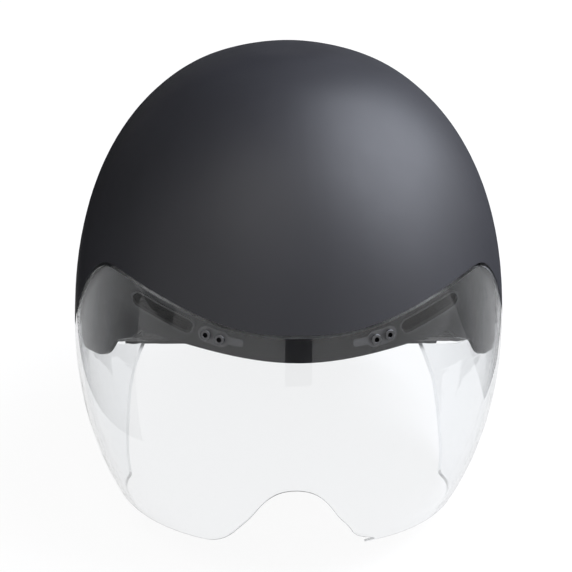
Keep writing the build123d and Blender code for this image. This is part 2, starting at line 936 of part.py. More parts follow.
def buckle_socket():
    """Female half of the buckle, open towards the right."""
    middle, level = buckle_middle(), buckle_level()
    half = buckle_width / 2
    shell = slab(
        (-buckle_length, 0), (middle - half, middle + half), (level, level + buckle_wall)
    )
    wide = prong_width / 2 + prong_play
    low = level + (buckle_wall - prong_wall) / 2 - prong_play
    mouth = slab(
        (-prong_length - prong_play, overrun), (middle - wide, middle + wide),
        (low, low + prong_wall + 2 * prong_play),
    )
    return shell - mouth


def buckle_plug():
    """Male half of the buckle, with its prongs in the socket."""
    middle, level = buckle_middle(), buckle_level()
    half = buckle_width / 2
    low = level + (buckle_wall - prong_wall) / 2
    grip_length = plug_length - prong_length
    grip = slab(
        (soft_gap, soft_gap + grip_length), (middle - half, middle + half),
        (level, level + buckle_wall),
    )
    prongs = slab(
        (-prong_length, soft_gap), (middle - prong_width / 2, middle + prong_width / 2),
        (low, low + prong_wall),
    )
    split = slab(
        (-prong_length, -prong_length / 3), (middle - prong_width / 6, middle + prong_width / 6),
        (low, low + prong_wall),
    )
    return grip + prongs - split


def parts():
    """Every piece by its node name, level with the head."""
    pieces = {
        "outer_shell": outer_shell(),
        "eps_liner": eps_liner(),
        "tail_diffuser": tail_diffuser(),
        "lower_trim": lower_trim(),
        "visor_lens": visor_lens(),
        "brow_pad": brow_pad(),
        "rear_cradle": rear_cradle(),
        "cradle_pad": cradle_pad(),
        "dial_housing": dial_housing(),
        "dial_knob": dial_knob(),
        "rack_left": rack(-1),
        "rack_right": rack(1),
        "buckle_socket": buckle_socket(),
        "buckle_plug": buckle_plug(),
    }
    paired = {
        "inlet_bezel": inlet_bezel(),
        "latch_magnets": latch_magnets(),
        "visor_bracket": visor_bracket(),
        "rivet_inner": rivet(stud_shares[0]),
        "rivet_outer": rivet(stud_shares[1]),
        "crown_pad": crown_pad(),
        "side_pad": side_pad(),
        "side_belt": side_belt(),
        "side_web": side_web(),
        "strap_divider": divider(),
        "front_anchor": strap_anchor(0),
        "rear_anchor": strap_anchor(1),
    }
    for name, solid in paired.items():
        pieces[name + "_right"], pieces[name + "_left"] = both_sides(solid)
    pieces["chin_strap_right"] = chin_strap(plug_length - prong_length + soft_gap)
    pieces["chin_strap_left"] = mirror(chin_strap(buckle_length), Plane.YZ)
    return pieces


def rested(pieces):
    """The pieces leaned onto their rest, with the origin under the middle."""
    lean = Rot(-rest_lean, 0, 0)
    leaned = {name: lean * solid for name, solid in pieces.items()}
    boxes = [solid.bounding_box() for solid in leaned.values()]
    middle = (min(box.min.Y for box in boxes) + max(box.max.Y for box in boxes)) / 2
    shift = Pos(0, -middle, -floor_gap())
    return {name: shift * solid for name, solid in leaned.items()}


def main():
    os.makedirs("parts", exist_ok=True)
    for name, solid in rested(parts()).items():
        export_step(solid, "parts/" + name + ".step")


if __name__ == "__main__":
    main()
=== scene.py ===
"""Looks, soft goods, light and camera of an aero time trial helmet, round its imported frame."""
import json
import logging
import math
from collections.abc import Callable
from dataclasses import dataclass, field
from enum import Enum

import bpy
import numpy as np
from mathutils import Matrix, Vector


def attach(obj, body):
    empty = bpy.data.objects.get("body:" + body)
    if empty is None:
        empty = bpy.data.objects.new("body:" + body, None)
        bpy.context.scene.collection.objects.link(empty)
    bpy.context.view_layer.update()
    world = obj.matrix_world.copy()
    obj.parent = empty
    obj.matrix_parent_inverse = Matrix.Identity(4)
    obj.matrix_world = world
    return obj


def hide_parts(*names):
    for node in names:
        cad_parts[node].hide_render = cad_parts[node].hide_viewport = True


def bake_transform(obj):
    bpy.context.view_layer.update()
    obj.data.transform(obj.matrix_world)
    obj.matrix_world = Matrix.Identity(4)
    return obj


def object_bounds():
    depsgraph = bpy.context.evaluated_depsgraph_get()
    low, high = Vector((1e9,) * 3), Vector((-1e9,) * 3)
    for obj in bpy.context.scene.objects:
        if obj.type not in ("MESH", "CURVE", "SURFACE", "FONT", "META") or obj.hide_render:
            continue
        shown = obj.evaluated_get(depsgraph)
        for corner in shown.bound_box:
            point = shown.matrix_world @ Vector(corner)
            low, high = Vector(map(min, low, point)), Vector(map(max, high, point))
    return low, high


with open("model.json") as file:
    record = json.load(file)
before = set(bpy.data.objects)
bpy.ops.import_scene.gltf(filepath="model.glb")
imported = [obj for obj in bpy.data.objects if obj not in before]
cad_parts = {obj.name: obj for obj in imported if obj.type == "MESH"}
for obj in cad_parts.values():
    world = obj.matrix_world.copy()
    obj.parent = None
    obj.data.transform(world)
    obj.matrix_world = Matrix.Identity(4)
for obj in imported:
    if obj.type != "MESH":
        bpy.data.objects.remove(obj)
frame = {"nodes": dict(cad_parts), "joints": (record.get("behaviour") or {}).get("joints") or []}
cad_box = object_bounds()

logging.basicConfig(level=logging.INFO, format="%(message)s")
log = logging.getLogger("helmet")

MM = 0.001
SIDES = (("left", -1.0), ("right", 1.0))
STRAP_MAP = "strap"
SOFT_DETAIL = 2.0
FINE_DETAIL = 3.0


def linear(hex_colour: str) -> tuple[float, float, float, float]:
    """Turns an sRGB hex colour into linear light, by the standard's own curve.

    Args:
        hex_colour: six hex digits after a hash mark.

    Returns:
        Red, green, blue and an alpha of one.
    """
    parts = [int(hex_colour[i:i + 2], 16) / 255 for i in (1, 3, 5)]
    light = [p / 12.92 if p <= 0.04045 else ((p + 0.055) / 1.055) ** 2.4 for p in parts]
    return (*light, 1.0)


def add_node(
    tree: bpy.types.NodeTree, kind: str, settings: dict | None = None, links: dict | None = None
) -> bpy.types.Node:
    """Adds one shader node with its settings and links.

    Args:
        tree: the node tree that gets it.
        kind: the node's type name.
        settings: values of its inputs, by name or number, and of its properties, by name.
        links: the output socket that feeds each input, by the input's name or number.

    Returns:
        The new node.
    """
    node = tree.nodes.new(kind)
    settings = settings or {}
    for name, value in settings.items():
        if isinstance(name, str) and name not in node.inputs:
            setattr(node, name, value)
    for name, value in settings.items():
        if isinstance(name, int) or name in node.inputs:
            node.inputs[name].default_value = value
    for name, socket in (links or {}).items():
        tree.links.new(socket, node.inputs[name])
    return node


def empty_tree(owner: bpy.types.Material | bpy.types.World) -> bpy.types.NodeTree:
    """Turns on the nodes of a material or a world, and clears them.

    Args:
        owner: the material or the world.

    Returns:
        Its node tree, with no node in it.
    """
    owner.use_nodes = True
    owner.node_tree.nodes.clear()
    return owner.node_tree


def points_of(mesh: bpy.types.Mesh) -> np.ndarray:
    """Reads a mesh's points.

    Args:
        mesh: the mesh.

    Returns:
        The places of its points, one in each row.
    """
    flat = np.zeros(len(mesh.vertices) * 3)
    mesh.vertices.foreach_get("co", flat)
    return flat.reshape(-1, 3)


def placed(name: str, data: bpy.types.ID) -> bpy.types.Object:
    """Puts a new object in the scene.

    Args:
        name: the object's name.
        data: the mesh, lamp or camera that it shows.

    Returns:
        The new object.
    """
    thing = bpy.data.objects.new(name, data)
    bpy.context.scene.collection.objects.link(thing)
    return thing


@dataclass(frozen=True)
class HeadFrame:
    """The helmet's own frame, level with the wearer's head, found from the dial's joint."""

    dial_back: float = 118 * MM
    dial_level: float = -25 * MM

    def dial(self) -> dict:
        """The dial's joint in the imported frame."""
        return next(j for j in frame["joints"] if j["name"] == "dial_turn")

    def axes(self) -> np.ndarray:
        """Finds the head's own directions.

        Returns:
            Right, back and up, one in each row.
        """
        back = np.array(self.dial()["axis"], float)
        right = np.array((1.0, 0.0, 0.0))
        return np.array((right, back, np.cross(right, back)))

    def lean(self) -> float:
        """How far the helmet leans back, in radians."""
        _, back, _ = self.axes()
        return math.atan2(back[2], back[1])

    def origin(self) -> np.ndarray:
        """The middle of the head in the row's frame."""
        _, back, up = self.axes()
        return np.array(self.dial()["pos_m"]) - back * self.dial_back - up * self.dial_level

    def to_row(self, points: np.ndarray) -> np.ndarray:
        """Points of the head's frame in the row's frame."""
        return points @ self.axes() + self.origin()

    def to_head(self, points: np.ndarray) -> np.ndarray:
        """Points of the row's frame in the head's frame."""
        return (points - self.origin()) @ self.axes().T

    def box(self, node: str) -> tuple[np.ndarray, np.ndarray]:
        """Lowest and highest corner of a node in the head's frame."""
        points = self.to_head(points_of(frame["nodes"][node].data))
        return points.min(axis=0), points.max(axis=0)


HEAD = HeadFrame()


@dataclass(frozen=True)
class Body:
    """The rounded form that the skin and the visor follow, its sizes in millimetres."""

    half_width: float = 103.0
    front_length: float = 110.0
    rear_length: float = 158.0
    height: float = 133.0
    roundness: float = 2.27

    def in_head(
        self, tree: bpy.types.NodeTree, direction: bpy.types.NodeSocket
    ) -> bpy.types.NodeSocket:
        """Turns a direction of the row's frame into the head's frame.

        Args:
            tree: the material's nodes.
            direction: the direction in the row's frame.

        Returns:
            The same direction in the head's frame.
        """
        return add_node(
            tree, "ShaderNodeVectorRotate", {"rotation_type": "X_AXIS", "Angle": -HEAD.lean()},
            {"Vector": direction},
        ).outputs["Vector"]

    def place(self, tree: bpy.types.NodeTree) -> bpy.types.NodeSocket:
        """The place on the piece, in metres from the head's middle, in the head's frame."""
        return self.in_head(tree, add_node(
            tree, "ShaderNodeVectorMath", {"operation": "SUBTRACT", 1: tuple(HEAD.origin())},
            {0: add_node(tree, "ShaderNodeTexCoord").outputs["Object"]},
        ).outputs["Vector"])

    def share(self, tree: bpy.types.NodeTree) -> bpy.types.NodeSocket:
        """Works out how far out a place lies, by the body's own formula.

        Args:
            tree: the material's nodes.

        Returns:
            The share of the body's full size, one on its outer skin.
        """
        place = self.place(tree)
        ahead, behind = (
            add_node(tree, "ShaderNodeVectorMath", {
                "operation": "MULTIPLY",
                1: tuple(sign / (size * MM) for size in (self.half_width, length, self.height)),
            }, {0: place}).outputs["Vector"]
            for sign, length in ((-1, self.front_length), (1, self.rear_length))
        )
        reach = add_node(
            tree, "ShaderNodeVectorMath", {"operation": "MAXIMUM"}, {0: ahead, 1: behind}
        ).outputs["Vector"]
        level = add_node(tree, "ShaderNodeSeparateXYZ", links={"Vector": reach}).outputs["Z"]
        flat = add_node(
            tree, "ShaderNodeVectorMath", {"operation": "MULTIPLY", 1: (1, 1, 0)}, {0: reach}
        ).outputs["Vector"]
        girth = add_node(
            tree, "ShaderNodeVectorMath", {"operation": "LENGTH"}, {0: flat}
        ).outputs["Value"]
        around, upward = (
            add_node(
                tree, "ShaderNodeMath", {"operation": "POWER", 1: self.roundness}, {0: size}
            ).outputs["Value"]
            for size in (girth, level)
        )
        form = add_node(
            tree, "ShaderNodeMath", {"operation": "ADD"}, {0: around, 1: upward}
        ).outputs["Value"]
        return add_node(
            tree, "ShaderNodeMath", {"operation": "POWER", 1: 1 / self.roundness}, {0: form}
        ).outputs["Value"]


BODY = Body()


@dataclass(frozen=True)
class Finish:
    """A real material and the way that its surface was made."""

    name: str
    colour: str
    second_colour: str
    roughness: float
    ior: float = 1.5
    specular: float = 0.5
    edge: float = 0.25

    def build(self) -> bpy.types.Material:
        """Makes the material with its pattern.

        Returns:
            The new material.
        """
        material = bpy.data.materials.new(self.name)
        tree = empty_tree(material)
        surface = add_node(tree, "ShaderNodeBsdfPrincipled", {
            "Base Color": linear(self.colour), "Roughness": self.roughness, "IOR": self.ior,
            "Specular IOR Level": self.specular,
        })
        add_node(tree, "ShaderNodeOutputMaterial", links={"Surface": surface.outputs["BSDF"]})
        self.pattern(tree, surface)
        return material

    def pattern(self, tree: bpy.types.NodeTree, surface: bpy.types.Node) -> None:
        """Adds what the surface shows beyond its colour; the plain one has nothing."""

    def place(self, tree: bpy.types.NodeTree) -> bpy.types.NodeSocket:
        """The place on the piece, in metres."""
        return add_node(tree, "ShaderNodeTexCoord").outputs["Object"]

    def patches(
        self, tree: bpy.types.NodeTree, size: float, detail: float = SOFT_DETAIL
    ) -> bpy.types.NodeSocket:
        """Draws soft, uneven patches.

        Args:
            tree: the material's nodes.
            size: about how wide a patch is, in millimetres.
            detail: how many finer sizes are laid over it.

        Returns:
            The pattern, from 0 to 1.
        """
        return add_node(
            tree, "ShaderNodeTexNoise", {"Scale": 1 / (size * MM), "Detail": detail},
            {"Vector": self.place(tree)},
        ).outputs["Fac"]

    def tint(
        self, tree: bpy.types.NodeTree, surface: bpy.types.Node, share: bpy.types.NodeSocket
    ) -> None:
        """Colours the surface between its two colours.

        Args:
            tree: the material's nodes.
            surface: its shader.
            share: the share of the second colour at each place.
        """
        mix = add_node(
            tree, "ShaderNodeMix",
            {"data_type": "RGBA", 6: linear(self.colour), 7: linear(self.second_colour)},
            {0: share},
        )
        tree.links.new(mix.outputs[2], surface.inputs["Base Color"])

    def vary_roughness(
        self, tree: bpy.types.NodeTree, surface: bpy.types.Node, share: bpy.types.NodeSocket,
        spread: float,
    ) -> None:
        """Lets the roughness wander round its value.

        Args:
            tree: the material's nodes.
            surface: its shader.
            share: where it lies between its two ends at each place, from 0 to 1.
            spread: how far each end lies from the value.
        """
        span = add_node(tree, "ShaderNodeMapRange", {
            "To Min": self.roughness - spread, "To Max": self.roughness + spread,
        }, {"Value": share})
        tree.links.new(span.outputs["Result"], surface.inputs["Roughness"])

    def relief(
        self, tree: bpy.types.NodeTree, surface: bpy.types.Node, height: bpy.types.NodeSocket,
        depth: float,
    ) -> None:
        """Raises the surface, over edges that are eased where the finish has an edge.

        Args:
            tree: the material's nodes.
            surface: its shader.
            height: the share of the depth at each place.
            depth: the full depth in millimetres.
        """
        links = {"Height": height}
        if self.edge:
            eased = add_node(tree, "ShaderNodeBevel", {"samples": 4, "Radius": self.edge * MM})
            links["Normal"] = eased.outputs["Normal"]
        bump = add_node(tree, "ShaderNodeBump", {"Strength": 1.0, "Distance": depth * MM}, links)
        tree.links.new(bump.outputs["Normal"], surface.inputs["Normal"])


@dataclass(frozen=True)
class MouldedPlastic(Finish):
    """Moulded plastic: the tool's fine texture, and a faint cloudiness in the colour."""

    grain: float = 0.6
    grain_depth: float = 0.012
    cloud: float = 35.0
    gloss_cloud: float = 35 / 3
    gloss_spread: float = 0.03

    def pattern(self, tree: bpy.types.NodeTree, surface: bpy.types.Node) -> None:
        """Adds the cloudiness, the uneven gloss and the tool's texture.

        Args:
            tree: the material's nodes.
            surface: its shader.
        """
        self.tint(tree, surface, self.patches(tree, self.cloud))
        gloss = self.patches(tree, self.gloss_cloud)
        self.vary_roughness(tree, surface, gloss, self.gloss_spread)
        self.relief(tree, surface, self.patches(tree, self.grain, FINE_DETAIL), self.grain_depth)


@dataclass(frozen=True)
class ShellSkin(MouldedPlastic):
    """The helmet's moulded skin: matte outside, its sunk band polished and a deeper black."""

    band_colour: str = "#0c0c0d"
    band_roughness: float = 0.2
    band_texture: float = 0.15
    band_share: float = 0.955
    skin_share: float = 0.985

    def pattern(self, tree: bpy.types.NodeTree, surface: bpy.types.Node) -> None:
        """Adds the skin's texture, then the band's polish and deeper colour.

        Args:
            tree: the material's nodes.
            surface: its shader.
        """
        super().pattern(tree, surface)
        sunk = add_node(tree, "ShaderNodeMapRange", {
            "From Min": self.skin_share, "From Max": self.band_share,
        }, {"Value": BODY.share(tree)}).outputs["Result"]
        skin_colour, skin_gloss = (
            surface.inputs[name].links[0].from_socket for name in ("Base Color", "Roughness")
        )
        texture = surface.inputs["Normal"].links[0].from_node
        colour = add_node(
            tree, "ShaderNodeMix", {"data_type": "RGBA", 7: linear(self.band_colour)},
            {0: sunk, 6: skin_colour},
        )
        gloss = add_node(
            tree, "ShaderNodeMix", {"data_type": "FLOAT", 3: self.band_roughness},
            {0: sunk, 2: skin_gloss},
        )
        fade = add_node(tree, "ShaderNodeMapRange", {"To Min": 1.0, "To Max": self.band_texture}, {
            "Value": sunk,
        })
        tree.links.new(colour.outputs[2], surface.inputs["Base Color"])
        tree.links.new(gloss.outputs[0], surface.inputs["Roughness"])
        tree.links.new(fade.outputs["Result"], texture.inputs["Strength"])


@dataclass(frozen=True)
class BeadFoam(Finish):
    """Expanded polystyrene: beads pressed against each other, with fine dark joints."""

    bead: float = 3.4
    joint_share: float = 0.22
    joint_depth: float = 0.25

    def pattern(self, tree: bpy.types.NodeTree, surface: bpy.types.Node) -> None:
        """Adds the beads as cells whose joints are sunk and darker.

        Args:
            tree: the material's nodes.
            surface: its shader.
        """
        cells = add_node(
            tree, "ShaderNodeTexVoronoi",
            {"feature": "DISTANCE_TO_EDGE", "Scale": 1 / (self.bead * MM)},
            {"Vector": self.place(tree)},
        )
        round_off = add_node(tree, "ShaderNodeMapRange", {
            "interpolation_type": "SMOOTHSTEP", "From Max": self.joint_share,
        }, {"Value": cells.outputs["Distance"]}).outputs["Result"]
        self.tint(tree, surface, round_off)
        self.relief(tree, surface, round_off, self.joint_depth)


@dataclass(frozen=True)
class WovenWebbing(Finish):
    """Woven polyester webbing: ribs in a herringbone, drawn from the strap's own length."""

    rib: float = 1.3
    turn: float = 3.6
    rib_depth: float = 0.16

    def pattern(self, tree: bpy.types.NodeTree, surface: bpy.types.Node) -> None:
        """Adds slanting ribs that change direction across the strap.

        Args:
            tree: the material's nodes.
            surface: its shader.
        """
        along = add_node(tree, "ShaderNodeUVMap", {"uv_map": STRAP_MAP})
        split = add_node(tree, "ShaderNodeSeparateXYZ", links={"Vector": along.outputs["UV"]})
        fold = add_node(
            tree, "ShaderNodeMath", {"operation": "PINGPONG", 1: self.turn * MM},
            {0: split.outputs["Y"]},
        )
        slant = add_node(
            tree, "ShaderNodeMath", {"operation": "ADD"},
            {0: split.outputs["X"], 1: fold.outputs["Value"]},
        )
        phase = add_node(
            tree, "ShaderNodeMath", {"operation": "MULTIPLY", 1: 2 * math.pi / (self.rib * MM)},
            {0: slant.outputs["Value"]},
        )
        wave = add_node(
            tree, "ShaderNodeMath", {"operation": "SINE"}, {0: phase.outputs["Value"]}
        )
        rib = add_node(
            tree, "ShaderNodeMapRange", {"From Min": -1.0, "From Max": 1.0},
            {"Value": wave.outputs["Value"]},
        ).outputs["Result"]
        self.tint(tree, surface, rib)
        self.relief(tree, surface, rib, self.rib_depth)


@dataclass(frozen=True)
class KnitFabric(Finish):
    """Brushed knit over foam: rows of small loops under a short nap."""

    loop: float = 1.1
    loop_depth: float = 0.12
    unevenness: float = 0.35
    nap: float = 0.35
    nap_roughness: float = 0.5
    fuzz: float = 6.6
    fuzz_share: float = 0.35

    def pattern(self, tree: bpy.types.NodeTree, surface: bpy.types.Node) -> None:
        """Adds the rows of loops, the nap's unevenness and its soft edge of light.

        Args:
            tree: the material's nodes.
            surface: its shader.
        """
        surface.inputs["Sheen Weight"].default_value = self.nap
        surface.inputs["Sheen Roughness"].default_value = self.nap_roughness
        loops = add_node(
            tree, "ShaderNodeTexVoronoi",
            {"feature": "SMOOTH_F1", "Scale": 1 / (self.loop * MM), "Randomness": self.unevenness},
            {"Vector": self.place(tree)},
        )
        fuzz = self.patches(tree, self.fuzz, 4.0)
        self.tint(tree, surface, fuzz)
        height = add_node(
            tree, "ShaderNodeMath", {"operation": "MULTIPLY_ADD", 1: self.fuzz_share},
            {0: fuzz, 2: loops.outputs["Distance"]},
        )
        self.relief(tree, surface, height.outputs["Value"], self.loop_depth)


@dataclass(frozen=True)
class ClearSheet(Finish):
    """Clear injection-moulded polycarbonate with a hard coat: all gloss, its cut edge matte."""

    grazing: float = 5.5
    cut_roughness: float = 0.55
    face_slope: float = 0.75
    cut_slope: float = 0.6
    ripple: float = 45.0
    ripple_depth: float = 0.02

    def cut(self, tree: bpy.types.NodeTree) -> bpy.types.NodeSocket:
        """Finds the sheet's cut edge, whose faces stand across the body's slope.

        Args:
            tree: the material's nodes.

        Returns:
            The roughness of the edge or of the glossy faces.
        """
        sizes = (BODY.half_width, BODY.front_length, BODY.height)
        steep = add_node(
            tree, "ShaderNodeVectorMath",
            {"operation": "MULTIPLY", 1: tuple((sizes[0] / size) ** 2 for size in sizes)},
            {0: BODY.place(tree)},
        )
        slope = add_node(tree, "ShaderNodeVectorMath", {"operation": "NORMALIZE"}, {
            0: steep.outputs["Vector"],
        })
        face = add_node(tree, "ShaderNodeNewGeometry").outputs["True Normal"]
        along = add_node(tree, "ShaderNodeVectorMath", {"operation": "DOT_PRODUCT"}, {
            0: slope.outputs["Vector"], 1: BODY.in_head(tree, face),
        })
        either_way = add_node(tree, "ShaderNodeMath", {"operation": "ABSOLUTE"}, {
            0: along.outputs["Value"],
        })
        return add_node(tree, "ShaderNodeMapRange", {
            "From Min": self.face_slope, "From Max": self.cut_slope,
            "To Min": self.roughness, "To Max": self.cut_roughness,
        }, {"Value": either_way.outputs["Value"]}).outputs["Result"]

    def pattern(self, tree: bpy.types.NodeTree, surface: bpy.types.Node) -> None:
        """Lets light through, greyer where the sheet is seen edge on, with a faint ripple.

        Args:
            tree: the material's nodes.
            surface: its shader.
        """
        surface.inputs["Transmission Weight"].default_value = 1.0
        tree.links.new(self.cut(tree), surface.inputs["Roughness"])
        facing = add_node(tree, "ShaderNodeLayerWeight", {"Blend": 0.5}).outputs["Facing"]
        depth = add_node(tree, "ShaderNodeMath", {"operation": "POWER", 1: self.grazing}, {
            0: facing,
        })
        self.tint(tree, surface, depth.outputs["Value"])
        self.relief(tree, surface, self.patches(tree, self.ripple, 1.0), self.ripple_depth)


@dataclass(frozen=True)
class PlatedMetal(Finish):
    """Plated metal: a fine drawn grain under the plating."""

    cloud: float = 4.0
    grain: float = 0.25
    grain_depth: float = 0.004
    gloss_spread: float = 0.06

    def pattern(self, tree: bpy.types.NodeTree, surface: bpy.types.Node) -> None:
        """Makes it metal, with a gloss that wanders a little.

        Args:
            tree: the material's nodes.
            surface: its shader.
        """
        surface.inputs["Metallic"].default_value = 1.0
        fine = self.patches(tree, self.grain, FINE_DETAIL)
        self.tint(tree, surface, self.patches(tree, self.cloud))
        self.vary_roughness(tree, surface, fine, self.gloss_spread)
        self.relief(tree, surface, fine, self.grain_depth)


# Matte moulded polycarbonate skin: charcoal, nearly neutral, its broad highlight a little blue
SHELL = ShellSkin(
    "matte_moulded_polycarbonate", "#1f1f22", "#232327", 0.5, specular=0.3, grain=0.7,
    grain_depth=0.006,
)
# Black expanded polystyrene, moulded in beads: dull, with a net of fine dark joints
EPS = BeadFoam("black_expanded_polystyrene", "#131314", "#262628", 0.62, edge=0.6)
# Satin injection-moulded nylon of frames, cradle, housings and buckle: a soft, even sheen
NYLON = MouldedPlastic("satin_moulded_nylon", "#232325", "#2b2b2e", 0.42, grain=0.45)
# Extruded soft rubber edge strip, duller than the shell
RUBBER = MouldedPlastic(
    "extruded_edge_rubber", "#1c1c1d", "#242426", 0.72, grain=0.35, grain_depth=0.02, edge=0.5
)
# Clear polycarbonate, moulded and coated against glare: its IOR of 1.585 comes down to what
# the coat leaves of its reflections, the long way through its sides looks grey, and its edge,
# trimmed by a cutter, is matte and catches a light grey line
LENS = ClearSheet("hard_coated_clear_polycarbonate", "#f6f7f8", "#b0b2b4", 0.0, 1.36, edge=0.0)
# Nylon whose tool was blasted: grey, frosted and a shade lighter than the band behind it
FROSTED = MouldedPlastic(
    "frosted_grey_nylon", "#454547", "#525255", 0.6, grain=0.3, grain_depth=0.02
)
# Steel rivets with a dark nickel plate: small, sharp glints on their rims
NICKEL = PlatedMetal("dark_nickel_plated_steel", "#4a4a4c", "#5e5e60", 0.24, edge=0.3)
# Neodymium magnets with a black nickel plate: smooth and darker than the rivets
MAGNET = PlatedMetal("black_nickel_plated_magnet", "#3a3a3c", "#48484b", 0.28, edge=0.2)
# Brushed polyester knit welded over foam: matte, with a faint halo from its nap
KNIT = KnitFabric("brushed_polyester_knit", "#1d1d20", "#2e2e32", 0.9, edge=0.0)
# Woven polyester webbing: a herringbone of ribs, drawn as coarse as it needs to show
WEBBING = WovenWebbing("woven_polyester_webbing", "#141415", "#2d2d2f", 0.75, edge=0.0)
# Bonded polyester sewing thread, lighter than the webbing
THREAD = MouldedPlastic(
    "bonded_sewing_thread", "#4a4a4d", "#5c5c60", 0.6, grain=0.3, grain_depth=0.03, edge=0.0
)
# Thermoplastic rubber of the dial's grip: almost no gloss
GRIP = MouldedPlastic(
    "soft_touch_grip_rubber", "#1b1b1c", "#262628", 0.78, grain=0.4, grain_depth=0.03, edge=0.4
)
# Moulded acetal of the toothed racks, waxy and a shade lighter
ACETAL = MouldedPlastic("moulded_acetal", "#39393c", "#424246", 0.34, grain=0.5)


def coat(piece: bpy.types.Object, finish: Finish) -> None:
    """Gives a piece its finish, which is made when it is first used."""
    piece.data.materials.append(bpy.data.materials.get(finish.name) or finish.build())


def dress(finish: Finish, *names: str) -> None:
    """Gives carried-over nodes their finish.

    Args:
        finish: the finish.
        names: the nodes' names.
    """
    for name in names:
        piece = frame["nodes"][name]
        piece.data.materials.clear()
        coat(piece, finish)
        log.info("dressed %s in %s", name, finish.name)


def pair(name: str) -> tuple[str, str]:
    """The left and the right copy of a paired node's name."""
    return name + "_left", name + "_right"


class Wall(Enum):
    """The side of the head's space that a soft piece lies against."""

    FRONT = "front"
    REAR = "rear"
    CROWN = "crown"
    SIDE = "side"


@dataclass(frozen=True)
class Cavity:
    """The head's space in the foam, in the head's frame."""

    half_width: float = 79.5 * MM
    front: float = 97 * MM
    rear: float = 101 * MM
    height: float = 102 * MM
    skirt: float = 150 * MM
    shift: float = 12 * MM
    crown_roundness: float = 2.2
    chin_roundness: float = 2.03
    halvings: int = 40

    def girth(self, level: np.ndarray, inset: np.ndarray) -> np.ndarray:
        """Works out how wide the form is at a level.

        Args:
            level: how far up it lies.
            inset: how far the form is drawn in.

        Returns:
            The share of the full girth.
        """
        above = np.clip(level / (self.height - inset), 0, 1)
        below = np.clip(-level / self.skirt, 0, 1)
        top = (1 - above ** self.crown_roundness) ** (1 / self.crown_roundness)
        low = (1 - below ** self.chin_roundness) ** (1 / self.chin_roundness)
        return np.where(level > 0, top, low)

    def length(self, along: np.ndarray, inset: np.ndarray) -> np.ndarray:
        """The half length that holds on the side of the middle where a point lies."""
        return np.where(along < self.shift, self.front - inset, self.rear - inset)

    def on_wall(
        self, wall: Wall, first: np.ndarray, second: np.ndarray, inset: np.ndarray, side: float
    ) -> np.ndarray:
        """Points on the form, drawn in by an inset, from two of their coordinates.

        Args:
            wall: the wall, which settles the coordinate that is solved for.
            first: across for the front, rear and crown, along for the side.
            second: the level, or along for the crown.
            inset: how far the form is drawn in.
            side: 1 for the right and -1 for the left, used by the side wall.

        Returns:
            The points in the head's frame.
        """
        half = self.half_width - inset
        if wall is Wall.CROWN:
            reach = np.hypot(first / half, (second - self.shift) / self.length(second, inset))
            rise = np.clip(1 - reach ** self.crown_roundness, 0, 1) ** (1 / self.crown_roundness)
            return np.stack((first, second, (self.height - inset) * rise), axis=-1)
        girth = self.girth(second, inset)
        if wall is Wall.SIDE:
            share = (first - self.shift) / self.length(first, inset)
            across = half * np.sqrt(np.clip(girth ** 2 - share ** 2, 0, None))
            return np.stack((side * across, first, second), axis=-1)
        depth = np.sqrt(np.clip(girth ** 2 - (first / half) ** 2, 0, None))
        front = wall is Wall.FRONT
        length = self.front - inset if front else self.rear - inset
        return np.stack((first, self.shift + (-1 if front else 1) * length * depth, second), -1)

    def over_crown(self, turn: np.ndarray, along: np.ndarray, inset: float) -> np.ndarray:
        """Points round the form over the crown, found by halving.

        Args:
            turn: how far up from the right ear a point lies, seen from behind, in radians.
            along: how far back it lies.
            inset: how far the form is drawn in.

        Returns:
            The points in the head's frame.
        """
        half, height = self.half_width - inset, self.height - inset
        share = (along - self.shift) / self.length(along, np.array(inset))
        low, high = np.zeros_like(turn), np.full_like(turn, height + half)
        for _ in range(self.halvings):
            middle = (low + high) / 2
            across, level = middle * np.cos(turn), middle * np.sin(turn)
            full = (
                np.hypot(across / half, share) ** self.crown_roundness
                + (level / height) ** self.crown_roundness
            )
            low, high = np.where(full < 1, middle, low), np.where(full < 1, high, middle)
        return np.stack((low * np.cos(turn), along, low * np.sin(turn)), axis=-1)


CAVITY = Cavity()


def sheet_faces(rows: int, columns: int) -> list[list[int]]:
    """Lists the quads of a closed sheet between two grids, its back, its face and its rim.

    Args:
        rows: the grids' rows.
        columns: the grids' columns.

    Returns:
        The quads, by the numbers of their points, which start with the back's.
    """

    def at(row: int, column: int, layer: int) -> int:
        """The number of a grid point."""
        return layer * rows * columns + row * columns + column

    faces = []
    for row in range(rows - 1):
        for column in range(columns - 1):
            corners = ((row, column), (row + 1, column), (row + 1, column + 1), (row, column + 1))
            faces.append([at(*c, 0) for c in corners])
            faces.append([at(*c, 1) for c in reversed(corners)])
    rim = [(row, 0) for row in range(rows)]
    rim += [(rows - 1, column) for column in range(1, columns)]
    rim += [(row, columns - 1) for row in range(rows - 2, -1, -1)]
    rim += [(0, column) for column in range(columns - 2, 0, -1)]
    for here, there in zip(rim, rim[1:] + rim[:1]):
        faces.append([at(*there, 0), at(*here, 0), at(*here, 1), at(*there, 1)])
    return faces


